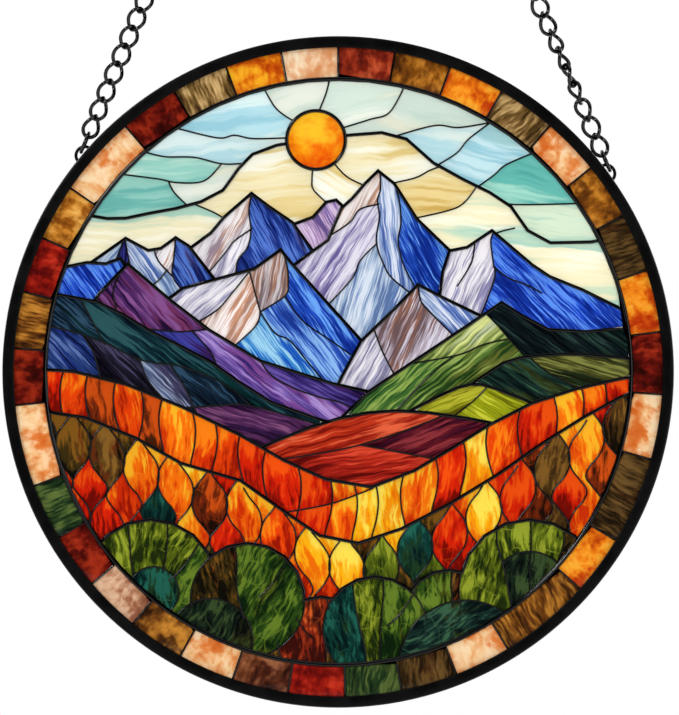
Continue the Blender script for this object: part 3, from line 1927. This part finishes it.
@dataclass
class BorderTiles:
    """The ring of short glass tiles between the picture and the rim.

    Attributes:
        mottled: The finish of most tiles.
        fibrous: The finish of those that are streaked.
        kinds: The kinds of glass, by the names in their slots and their sheets.
        fibrous_kinds: The kinds that are streaked.
        odd_ones: Tiles whose sheet differs from their kind's.
        soft_edge: The width of a tile's softened edges, in millimetres.
    """

    mottled: ArtGlass
    fibrous: ArtGlass
    kinds: tuple[str, ...] = (
        "rust", "amber", "orange", "olive", "peach", "dark_red", "brown", "green", "gold", "mauve", "red",
        "umber",
    )
    fibrous_kinds: frozenset[str] = frozenset({"olive", "brown", "umber", "green"})
    odd_ones: tuple[Pane, ...] = (
        Pane(-24.3, -88.3, Sheet.TILE_SIENNA), Pane(-9, 93, Sheet.TILE_CREAM),
        Pane(-25, 90, Sheet.TILE_COPPER), Pane(-53, -77, Sheet.TILE_UMBER),
    )
    soft_edge: float = 0.22

    def build(self, plane: PanelPlane) -> list[tuple[Piece, list[str]]]:
        """Soften and colour the tiles.

        Args:
            plane: The panel's plane.

        Returns:
            One piece for each kind of glass, with the nodes that it replaces.
        """
        pieces = []
        for kind in self.kinds:
            slot = f"glass_{kind}"
            nodes = [node for node in SLOTS if node.startswith("border_tile") and SLOTS[node] == slot]
            tiles = join([copy_of(node, node) for node in nodes], f"tiles_{kind}")
            finish = self.fibrous if kind in self.fibrous_kinds else self.mottled
            sheets = [Pane(0, 0, Sheet[f"TILE_{kind.upper()}"]), *self.odd_ones]
            area = TileSet(slot, finish, [], sheets, len(nodes) + len(slot))
            area.dress(tiles, Outline.of(tiles, plane), plane, random.Random(area.seed))
            area.grow(tiles)
            apply_modifier(tiles, "BEVEL", width=self.soft_edge * MM, segments=2, limit_method="ANGLE",
                           angle_limit=math.radians(40))
            settle(tiles)
            tiles.data.materials.append(finish.material())
            pieces.append((tiles, nodes))
        return pieces


# ---------------------------------------------------------------- the studio


@dataclass(frozen=True)
class SoftLight:
    """A far soft light that shines on the panel.

    Attributes:
        name: The light's name.
        place: The side that it shines from.
        spread: How wide it looks from the panel, in degrees.
        strength: Its strength, in watts on a square metre.
    """

    name: str
    place: tuple[float, float, float]
    spread: float
    strength: float

    def hang(self, aim: Vector) -> None:
        """Hang the light.

        Args:
            aim: The place that it is turned to.
        """
        data = bpy.data.lights.new(self.name, "SUN")
        data.angle = math.radians(self.spread)
        data.energy = self.strength
        light = bpy.data.objects.new(self.name, data)
        light.location = self.place
        light.rotation_euler = (aim - Vector(self.place)).to_track_quat("-Z", "Y").to_euler()
        bpy.context.scene.collection.objects.link(light)


@dataclass
class Studio:
    """The pale room, its soft lights and the camera.

    Attributes:
        distance: The camera's distance from the panel, in metres.
        lens: The camera's lens, in millimetres.
        sensor: The height of its sensor, in millimetres.
        aim: The place that the camera looks at.
        floor_gap: The floor's depth below the panel.
        room_light: How brightly the white room lights the panel.
        room_gleam: How brightly it shows in what is glossy.
        floor_size: The floor's width.
        lights: The soft lights.
    """

    distance: float = 2.0
    lens: float = 225.2
    sensor: float = 24.0
    aim: tuple[float, float, float] = (0.0004, 0.0, -0.2447)
    floor_gap: float = 0.45
    room_light: float = 0.5
    room_gleam: float = 0.03
    floor_size: float = 6.0
    lights: tuple[SoftLight, ...] = (
        SoftLight("key", (-0.9, -1.5, 0.5), 12.0, 1.2), SoftLight("fill", (1.1, -1.4, -0.1), 35.0, 0.8),
        SoftLight("top", (0.0, -0.2, 1.5), 60.0, 1.0), SoftLight("back_left", (-1.0, 1.4, 0.4), 35.0, 0.8),
        SoftLight("back_right", (1.0, 1.5, 0.1), 35.0, 0.8),
    )

    def floor(self, foot: float) -> None:
        """The floor, far below the panel.

        Args:
            foot: The panel's lowest height.
        """
        bpy.ops.mesh.primitive_plane_add(size=self.floor_size, location=(0.0, 0.0, foot - self.floor_gap))
        floor = bpy.context.view_layer.objects.active
        floor.name = floor.data.name = "floor"
        floor.data.materials.append(Plaster().material())

    def walls(self) -> None:
        """The white room around: bright where it is looked at, dim where it lights."""
        world = bpy.data.worlds.new("white_room")
        bpy.context.scene.world = world
        world.use_nodes = True
        nodes = Nodes(world.node_tree)
        shown = world.node_tree.nodes["Background"]
        shown.inputs["Color"].default_value = (1.0, 1.0, 1.0, 1.0)
        path = nodes.add("ShaderNodeLightPath")
        seen = nodes.maths("MAXIMUM", path.outputs["Is Camera Ray"], path.outputs["Is Transmission Ray"])
        soft = nodes.maths("MULTIPLY_ADD", path.outputs["Is Diffuse Ray"], self.room_light)
        soft.node.inputs[2].default_value = self.room_gleam
        nodes.link(nodes.maths("MAXIMUM", seen, soft), shown.inputs["Strength"])

    def camera(self) -> None:
        """The camera, level with the panel and straight in front of it."""
        data = bpy.data.cameras.new("camera")
        data.sensor_fit = "VERTICAL"
        data.sensor_height = self.sensor
        data.lens = self.lens
        camera = bpy.data.objects.new("camera", data)
        camera.location = Vector(self.aim) - Vector((0.0, self.distance, 0.0))
        camera.rotation_euler = (math.pi / 2, 0.0, 0.0)
        bpy.context.scene.collection.objects.link(camera)
        bpy.context.scene.camera = camera

    def build(self, foot: float) -> None:
        """The whole studio.

        Args:
            foot: The panel's lowest height.
        """
        self.floor(foot)
        for light in self.lights:
            light.hang(Vector(self.aim))
        self.walls()
        self.camera()
        bpy.context.scene.view_settings.view_transform = "Standard"


# ---------------------------------------------------------------- the picture


RIM_COAT = BlackMetal("black_coat", 0.0004, 0.0012, (0.3, 0.42), 0.00001, shine=0.12)
LEAD = BlackMetal("blackened_lead", 0.0006, 0.002, (0.06, 0.12), 0.00001, shine=0.3)
CHAIN_GLOSS = BlackMetal("gloss_black", 0.0006, 0.0015, (0.1, 0.18), 0.000006, shine=0.5)

SKY_GLASS = ArtGlass("sky_glass", across=3.0, along=0.22, wave=0.3, light=0.55, dark=0.4, hairs=0.6)
CLOUD_GLASS = ArtGlass(
    "cloud_glass", across=3.4, along=0.24, wave=0.3, light=0.6, dark=0.42, hairs=0.6, clouds=0.42)
ROCK_GLASS = ArtGlass(
    "rock_glass", across=10.0, along=0.6, wave=0.16, light=0.64, dark=0.44, rise=0.1, hairs=1.4)
HILL_GLASS = ArtGlass(
    "hill_glass", across=7.0, along=0.45, wave=0.22, light=0.5, dark=0.47, rise=0.12, hairs=1.3)
FIELD_GLASS = ArtGlass(
    "field_glass", across=7.0, along=0.5, wave=0.22, light=0.45, dark=0.55, rise=0.1, hairs=1.1)
FLAME_GLASS = ArtGlass(
    "flame_glass", across=4.5, along=0.9, wave=0.3, light=0.54, dark=0.38, rise=0.45, hairs=0.9, cracks=0.18)
LEAF_GLASS = ArtGlass(
    "leaf_glass", across=4.5, along=1.0, wave=0.35, light=0.5, dark=0.46, rise=0.4, hairs=0.9, cracks=0.25)
BUSH_GLASS = ArtGlass(
    "bush_glass", across=5.0, along=1.3, wave=0.35, light=0.44, dark=0.64, rise=0.1, hairs=1.2, cracks=0.55)
SUN_GLASS = ArtGlass("sun_glass", across=1.9, along=1.2, wave=0.5, rise=0.4, hairs=0.6, soft=0.1)
MOTTLED_GLASS = ArtGlass("mottled_glass", across=3.0, along=2.2, wave=0.4, hairs=0.7, soft=0.1)
FIBROUS_GLASS = ArtGlass("fibrous_glass", across=6.0, along=1.2, wave=0.35, hairs=1.0, soft=0.12)


def far_areas() -> list[GlassArea]:
    """The sky, the cloud, the sun and the farthest peaks.

    Returns:
        The areas.
    """
    sky = GlassArea("sky_glass", SKY_GLASS, [
        [(-22.6, 85.4), (-18.4, 78.4), (-12.4, 74.2)],
        [(-47.4, 72.4), (-35.8, 69.7), (-30.9, 70.5), (-25.4, 69.5), (-15.8, 69.7)],
        [(-56.9, 65.3), (-51.4, 64.1), (-42.8, 63.9), (-34.7, 62), (-28.7, 62.1)],
        [(-65.6, 59), (-53.7, 57.5), (-48, 56.4), (-40, 56.9), (-34.7, 62)],
        [(-50.5, 56.7), (-48.8, 53.4), (-44.4, 49.1)],
        [(-2.4, 88), (-3.6, 83), (-6, 77)],
        [(1, 72.6), (9.4, 75.2), (15.3, 77.3), (20, 85.5)],
        [(16.8, 70.2), (28.8, 73.4), (35.9, 72.8), (46, 74.4)],
        [(29.4, 61.5), (35.3, 65.2), (38.8, 69.3), (45.5, 74.4)],
        [(41.1, 54.8), (46.5, 58.7), (50, 61.7), (58, 65.2)],
        [(48.8, 50.8), (51.8, 49.9), (61.2, 49.9), (71.5, 50.2)],
    ], [
        Pane(-33, 76, Sheet.POWDER, 8), Pane(-42, 67.5, Sheet.POWDER, 5), Pane(-50, 61, Sheet.LAGOON, 3),
        Pane(-62, 53, Sheet.LAGOON, 4), Pane(-38, 54, Sheet.MIST, 10),
        Pane(-10, 82, Sheet.MIST, 20), Pane(5, 80, Sheet.MIST, 12), Pane(24, 80, Sheet.MIST, -14),
        Pane(27, 69, Sheet.POWDER, -8), Pane(42, 66, Sheet.HIGH_BLUE, -18),
        Pane(60, 57, Sheet.SEA, -12), Pane(63, 45, Sheet.AQUA, -6),
    ], seed=3)
    cloud = GlassArea("cloud_glass", CLOUD_GLASS, [
        [(-43.5, 50.2), (-37, 47.5), (-32, 44.5)],
        [(30.4, 61.2), (27, 59.9), (22.9, 57.8), (15, 56)],
        [(41.8, 56), (37.6, 50.5), (32.9, 48.1), (21, 45.4)],
        [(-7.5, 61.2), (-7.8, 57), (-7.3, 54.2), (-3, 50)],
        [(-1.9, 62.9), (2.3, 58.4), (7, 55.9), (10, 55)],
        [(46, 41), (49, 42), (52.4, 42.8)],
    ], [
        Pane(-55, 45, Sheet.HAZE, 0), Pane(-20, 62, Sheet.CREAM, 6), Pane(10, 65, Sheet.CREAM, 4),
        Pane(33, 53, Sheet.HONEY, -3), Pane(65, 38, Sheet.HAZE, -4), Pane(-3, 57, Sheet.CREAM, -30),
    ], seed=4)
    sun = GlassArea("sun_glass", SUN_GLASS, [], [Pane(-6.6, 69.1, Sheet.SUN, 200)], seed=5)
    pink = GlassArea("pink_peak_glass", ROCK_GLASS, [], [Pane(-8, 44, Sheet.LILAC, 118)], seed=6)
    far = GlassArea("far_peaks_glass", ROCK_GLASS, [
        [(-63.6, 40.6), (-64.6, 37.3), (-66.8, 32)],
        [(-63.6, 40.6), (-62.9, 36), (-61.8, 31)],
        [(-55, 37), (-53.5, 33), (-49.3, 28.4)],
        [(-48.4, 40.2), (-48.9, 34.4), (-49.4, 29), (-47, 25), (-44, 22)],
        [(-51, 30.4), (-53.4, 27.4), (-57, 24.5)],
    ], [
        Pane(-67, 35.5, Sheet.PALE_ICE, 50), Pane(-64, 34, Sheet.INDIGO, 90),
        Pane(-58, 34, Sheet.GLACIER, 125), Pane(-51, 33, Sheet.SNOW_SAND, 62),
        Pane(-50, 26, Sheet.PALE_ICE, 120), Pane(-43, 33, Sheet.DEEP_BLUE, 122),
    ], seed=7)
    left = GlassArea("left_peak_glass", ROCK_GLASS, [
        [(-25.6, 53.6), (-26.6, 48.1), (-26, 42.4), (-26.9, 37.3), (-29.8, 33.4), (-30.6, 28)],
        [(-25.8, 42.6), (-30.9, 39), (-33.2, 36.1), (-38.6, 29.5)],
    ], [
        Pane(-31, 44, Sheet.SNOW_SAND, 62), Pane(-35, 31, Sheet.FROST, 66),
        Pane(-22, 44, Sheet.DEEP_BLUE, 118),
    ], seed=8)
    right = GlassArea("right_peak_glass", ROCK_GLASS, [
        [(46.9, 42.6), (45.5, 39.3), (46.1, 33.3), (46.7, 28.5), (44.3, 21.4), (42, 15.5)],
        [(40.5, 36.6), (39.5, 32.1), (35.6, 25.7)],
        [(46.4, 31.2), (50.9, 27.9), (55.7, 26.1), (60.5, 23.6)],
    ], [
        Pane(36, 30, Sheet.FROST, 66), Pane(52, 32, Sheet.ROYAL, 134),
    ], seed=9)
    return [sky, cloud, sun, pink, far, left, right]


def mountain_areas() -> list[GlassArea]:
    """The great peaks.

    Returns:
        The areas.
    """
    main = GlassArea("main_peak_glass", ROCK_GLASS, [
        [(12.4, 60.6), (12.6, 54.6), (11.7, 51), (12.3, 46.3), (11.4, 40.4), (11.7, 36.9), (13.5, 32.2),
         (15.9, 28.1), (22.6, 22.6)],
        [(16.6, 56.6), (18.2, 51), (18.7, 44.6), (17.9, 38.6), (19.7, 31.4), (23.4, 24.4)],
        [(12, 50), (6.4, 48.4), (3.5, 44.6), (-2.4, 40.6)],
        [(11.5, 38.3), (6.6, 33.2), (4.2, 27.9), (-3, 20)],
    ], [
        Pane(8.5, 54, Sheet.ROSE_SAND, 62), Pane(9, 29, Sheet.PALE_ICE, 72),
        Pane(15, 44, Sheet.GLACIER, 96), Pane(26, 39, Sheet.COBALT, 118),
        Pane(-3, 35, Sheet.LAVENDER, 58),
    ], seed=11)
    shoulder = GlassArea("blue_shoulder_glass", ROCK_GLASS, [], [Pane(0, 0, Sheet.ROYAL, 128)], seed=12)
    front_left = GlassArea("front_left_peak_glass", ROCK_GLASS, [
        [(-26.4, 30), (-24.6, 23), (-23.2, 17.9)],
        [(-17, 36.8), (-15.2, 31.6), (-14.9, 26.4), (-15.8, 22.7), (-23.2, 17.9)],
        [(-26.4, 30), (-32, 23), (-36, 18.5), (-42.5, 14.4)],
        [(-23.2, 17.9), (-24.4, 13.9), (-30.6, 8)],
        [(-15.8, 22.4), (-11.5, 16.2), (-7.5, 12.8), (-3, 9.9), (4.8, 4.4)],
        [(-23.2, 17.9), (-18.9, 11.6), (-14.4, 9.3), (-8.7, 2.5), (-4.2, -2.8)],
    ], [
        Pane(-20, 28, Sheet.TAUPE, 78), Pane(-30, 20, Sheet.ROSE_SAND, 58), Pane(-36, 22, Sheet.FROST, 42),
        Pane(-12, 8, Sheet.AZURE, 128), Pane(-22, 8, Sheet.CYAN, 126), Pane(-4, 14, Sheet.COBALT, 124),
    ], seed=13)
    front_right = GlassArea("front_right_peak_glass", ROCK_GLASS, [
        [(23.7, 27.3), (24.6, 21.3), (27.5, 17.7), (34.8, 10.4)],
        [(10.8, 12.4), (13.1, 6.3), (16.8, -1)],
    ], [
        Pane(20, 12, Sheet.UMBER_ICE, 66), Pane(31, 19, Sheet.GLACIER, 134), Pane(10, 5, Sheet.FROST, 60),
    ], seed=14)
    return [main, shoulder, front_left, front_right]


def hill_areas() -> list[GlassArea]:
    """The hills and the red field before the mountains.

    Returns:
        The areas.
    """
    purple = GlassArea("purple_hill_glass", HILL_GLASS, [
        [(-57, 12.8), (-47, 12), (-37.5, 12.8)],
        [(-43.6, 12.2), (-40, 8.4), (-37.2, 4.6), (-35.6, 0)],
        [(-23.6, 4), (-20, -0.9), (-13, -4.9), (-5.2, -7.6), (1, -9.2), (6, -12)],
        [(-65, 29.5), (-67, 24), (-66, 18.5)],
    ], [
        Pane(-58, 24, Sheet.PLUM, -50), Pane(-70, 22, Sheet.PLUM, -52), Pane(-44, 9.5, Sheet.INDIGO, -34),
        Pane(-32, 6, Sheet.VIOLET, -38), Pane(-12, -4, Sheet.GRAPE, -28),
    ], seed=21)
    teal = GlassArea("teal_hill_glass", HILL_GLASS, [
        [(-90, 14.3), (-78.8, 11.9), (-68.5, 8.2), (-60.5, 4.2), (-55.4, 2.8), (-47.4, 1.8), (-38, -1.5),
         (-31, -5.5), (-26, -9.9)],
        [(-77.2, 22.6), (-74, 16.5), (-69.6, 8.4)],
        [(-76.4, 11.4), (-73, 5.9), (-70.8, -1.8)],
        [(-59.2, 3.8), (-56.6, -2.6), (-51.2, -9)],
        [(-46, -10.6), (-36, -10.1), (-27.5, -9.8), (-13.2, -13.5), (-3, -16.6)],
        [(-50, 2.2), (-46, -4), (-43, -10.4)],
    ], [
        Pane(-80, 17, Sheet.MIDNIGHT, -40), Pane(-80, 5, Sheet.DENIM, -44), Pane(-64, 1, Sheet.SOOT, -46),
        Pane(-47, 5, Sheet.TEAL, -36), Pane(-54, -3, Sheet.GREY_BLUE, -46),
        Pane(-38, -6, Sheet.MIDNIGHT, -40), Pane(-25, -14, Sheet.AUBERGINE, -18),
    ], seed=22)
    green = GlassArea("green_hill_glass", HILL_GLASS, [
        [(43, 18.4), (47.3, 14.1), (50.9, 9.9), (55.6, 4.6)],
        [(22.4, 2.6), (35.9, 5.1), (43.1, 8.1), (50.9, 9.9)],
        [(17.2, -11.6), (27.5, -0.9), (34, 4.4)],
    ], [
        Pane(38, 10, Sheet.SAGE, 44), Pane(18, -4, Sheet.GLADE, 42), Pane(60, 9, Sheet.BLACK_GREEN, -35),
        Pane(42, 4, Sheet.MEADOW, 38),
    ], seed=23)
    dark = GlassArea("dark_hill_glass", HILL_GLASS, [
        [(56, 5.2), (63, -0.5), (74, -5.8)],
    ], [Pane(50, -1, Sheet.PINE, -30), Pane(70, 0, Sheet.KHAKI, -16)], seed=24)
    low = GlassArea("low_green_glass", HILL_GLASS, [
        [(45.6, -3), (41, -8), (33.4, -14)],
    ], [Pane(30, -9, Sheet.OCHRE, 25), Pane(50, -8, Sheet.LIME, -28)], seed=25)
    field = GlassArea("red_hill_glass", FIELD_GLASS, [
        [(-19.5, -26.4), (-10, -25), (2, -22.8), (9.6, -20.8), (20, -17.4), (33, -12.4)],
        [(6.8, -21.8), (15.6, -23.4), (28.6, -25.9)],
    ], [
        Pane(8, -17, Sheet.BRICK, 16), Pane(35, -19, Sheet.WINE, 20), Pane(5, -27, Sheet.RUBY, 10),
    ], seed=26)
    return [purple, teal, green, dark, low, field]


def near_areas() -> list[GlassArea]:
    """The two rows of flames and the bushes.

    Returns:
        The areas.
    """
    band = PaneRow("orange_band_glass", FLAME_GLASS, [
        [(-17, -42), (-8, -40.5), (0, -38.6), (12, -34)],
    ], [
        *cut_from(Sheet.SCARLET, (-83.4, -5.4), (-27.7, -25.2), (-18.8, -30.1), (-6, -33.1), (32.4, -29.2),
                  (58.1, -15.2), (83, -7.4)),
        *cut_from(Sheet.FLAME, (-75.4, -8.3), (-58.5, -11.3), (-36.7, -20.3), (49.1, -21.2), (74.1, -8.3)),
        *cut_from(Sheet.TORTOISE, (-67.5, -7.4)),
        *cut_from(Sheet.AMBER, (-49.6, -12), (-0.4, -44.1), (24.4, -36.1), (66.1, -11.3)),
        *cut_from(Sheet.SUNNY, (7.4, -40.1), (16.4, -38.1), (40.2, -25.2)),
    ], seed=31, zones=(
        Zone(-EDGE, -62, EDGE, ((Sheet.SCARLET, 4), (Sheet.FLAME, 3), (Sheet.TORTOISE, 1))),
        Zone(-62, -30, EDGE, ((Sheet.FLAME, 5), (Sheet.TORTOISE, 1), (Sheet.AMBER, 3), (Sheet.SCARLET, 2))),
        Zone(-30, -4, EDGE, ((Sheet.SCARLET, 4), (Sheet.FLAME, 3))),
        Zone(-4, 22, EDGE, ((Sheet.AMBER, 4), (Sheet.FLAME, 2), (Sheet.SUNNY, 2))),
        Zone(22, 58, EDGE, ((Sheet.AMBER, 3), (Sheet.FLAME, 3), (Sheet.SCARLET, 2), (Sheet.SUNNY, 1))),
        Zone(58, EDGE, EDGE, ((Sheet.FLAME, 3), (Sheet.SCARLET, 4))),
    ))
    row = LeafRow("leaf_row_glass", LEAF_GLASS, [], [
        *cut_from(Sheet.BRACKEN, (-82.4, -17.3), (8, -55)),
        *cut_from(Sheet.BARK, (-66.5, -21.3), (67.1, -22.3), (82, -20.3)),
        *cut_from(Sheet.SCARLET, (-72.4, -33.2), (-32.2, -47.1), (32.8, -48), (38.8, -49), (51.2, -37),
                  (66.1, -37.2)),
        *cut_from(Sheet.FLAME, (-64.5, -34.2)),
        *cut_from(Sheet.AMBER, (-58.5, -26.2), (-48.6, -33), (-28.7, -36), (-39.7, -49.1), (41.3, -36),
                  (73.1, -31.2)),
        *cut_from(Sheet.SUNNY, (-44.6, -30.2), (-3.4, -56), (2, -60), (45.8, -43)),
        *cut_from(Sheet.JADE, (-54.6, -41), (23.4, -50)),
        *cut_from(Sheet.TORTOISE, (-36.7, -33), (58, -27), (59.2, -39), (80, -28.2)),
    ], seed=32, zones=(
        Zone(-EDGE, -64, 14, ((Sheet.BRACKEN, 4), (Sheet.TORTOISE, 1))),
        Zone(-64, -38, 14, ((Sheet.SUNNY, 3), (Sheet.AMBER, 3), (Sheet.FLAME, 1))),
        Zone(-38, -10, 14, ((Sheet.FLAME, 4), (Sheet.SCARLET, 3), (Sheet.AMBER, 1))),
        Zone(-10, 30, 14, ((Sheet.SUNNY, 2), (Sheet.BRACKEN, 2), (Sheet.FLAME, 2), (Sheet.FERN, 2))),
        Zone(30, 64, 14, ((Sheet.SUNNY, 1), (Sheet.SCARLET, 3), (Sheet.AMBER, 2), (Sheet.FLAME, 2),
                          (Sheet.TORTOISE, 1))),
        Zone(64, EDGE, 14, ((Sheet.TORTOISE, 3), (Sheet.SCARLET, 2), (Sheet.BRACKEN, 1))),
        Zone(-EDGE, -48, 27, ((Sheet.SCARLET, 5), (Sheet.FLAME, 3), (Sheet.TORTOISE, 1))),
        Zone(-48, -10, 27, ((Sheet.BRACKEN, 2), (Sheet.FLAME, 2), (Sheet.SCARLET, 2), (Sheet.JADE, 1),
                            (Sheet.SUNNY, 1))),
        Zone(-10, 30, 27, ((Sheet.BARK, 2), (Sheet.BRACKEN, 3), (Sheet.FERN, 1), (Sheet.FLAME, 1))),
        Zone(30, 66, 27, ((Sheet.FLAME, 2), (Sheet.SCARLET, 3), (Sheet.TORTOISE, 2), (Sheet.BRACKEN, 2))),
        Zone(66, EDGE, 27, ((Sheet.FLAME, 2), (Sheet.SCARLET, 2), (Sheet.TORTOISE, 2))),
        Zone(-EDGE, EDGE, EDGE, ((Sheet.BRACKEN, 3), (Sheet.BARK, 2), (Sheet.SUNNY, 1), (Sheet.JADE, 2),
                                 (Sheet.NIGHT, 2))),
    ))
    bushes = Bushes(
        "bush_glass", BUSH_GLASS, [], [
            Pane(-64, -52, Sheet.FERN, 100), Pane(-52, -50, Sheet.FERN, 80), Pane(-43, -56, Sheet.FERN, 60),
            Pane(-60, -62, Sheet.FERN, 100), Pane(-46, -66, Sheet.GRASS, 60),
            Pane(-55, -64, Sheet.JADE, 100), Pane(-38, -75, Sheet.NIGHT, 60),
            Pane(-18, -62, Sheet.GRASS, 60), Pane(-36, -64, Sheet.BRACKEN, 100),
            Pane(-5, -72, Sheet.EMBER, 90), Pane(-14, -78, Sheet.BARK, 80), Pane(2, -80, Sheet.BRACKEN, 90),
            Pane(13, -66, Sheet.FERN, 90), Pane(4, -78, Sheet.JADE, 100), Pane(14, -78, Sheet.GRASS, 90),
            Pane(40, -74, Sheet.PINE, 30), Pane(30, -62, Sheet.GRASS, 95), Pane(38, -62, Sheet.BARK, 70),
            Pane(46, -62, Sheet.FERN, 80), Pane(52, -50, Sheet.FERN, 100), Pane(63, -52, Sheet.FERN, 80),
            Pane(56, -60, Sheet.NIGHT, 80), Pane(70, -56, Sheet.BRACKEN, 60),
        ], seed=33,
        bushes=(
            Bush(-55, -65.5, 7.5), Bush(-38, -80, 12.5), Bush(38, -88, 20),
            Bush(11, -76.5, 15.5, (-0.45, 0.15), (0.9,)), Bush(-27, -68, 17, (-0.25,), (0.8,)),
            Bush(57, -65, 21, (-0.45, 0.0, 0.45), (), 0.55), Bush(-5, -80, 13, (0.1,), (-0.8,)),
            Bush(33, -72.5, 13.5, (0.1,)), Bush(-56, -64, 20, (-0.35, 0.25), (0.9,)),
        ))
    return [band, row, bushes]


# ---------------------------------------------------------------- assembly


def show(piece: Piece, slot: str, *nodes: str) -> None:
    """Hand a finished piece to the frame.

    Args:
        piece: The piece.
        slot: Its material's slot.
        nodes: The CAD nodes that it takes the place of.
    """
    if nodes:
        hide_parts(*nodes)
    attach(piece, BODY)
    log.info("%s: %d faces in slot %s", piece.name, len(piece.data.polygons), slot)


def main() -> None:
    """Build the suncatcher and its studio."""
    plane = PanelPlane.of_rim()
    fine_lines: list[Line] = []
    for area in [*far_areas(), *mountain_areas(), *hill_areas(), *near_areas()]:
        glass, lines = area.build(plane)
        show(glass, SLOTS[area.node], area.node)
        fine_lines += lines

    for tiles, nodes in BorderTiles(MOTTLED_GLASS, FIBROUS_GLASS).build(plane):
        show(tiles, SLOTS[nodes[0]], *nodes)

    network, *rest = LeadWork().build(fine_lines, plane)
    for piece in (network, *rest):
        piece.data.materials.append(LEAD.material())
    show(network, SLOTS["leading"], "leading")
    for piece in rest:
        show(piece, SLOTS["leading"])

    rim = Rim().build(plane)
    rim.data.materials.append(RIM_COAT.material())
    show(rim, SLOTS["rim"], "rim")

    for node, piece in Chain().build(plane).items():
        piece.data.materials.append(CHAIN_GLOSS.material())
        show(piece, SLOTS[node], node)

    Studio().build(CAD_BOX[0].z)
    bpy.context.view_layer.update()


if __name__ == "__main__":
    main()
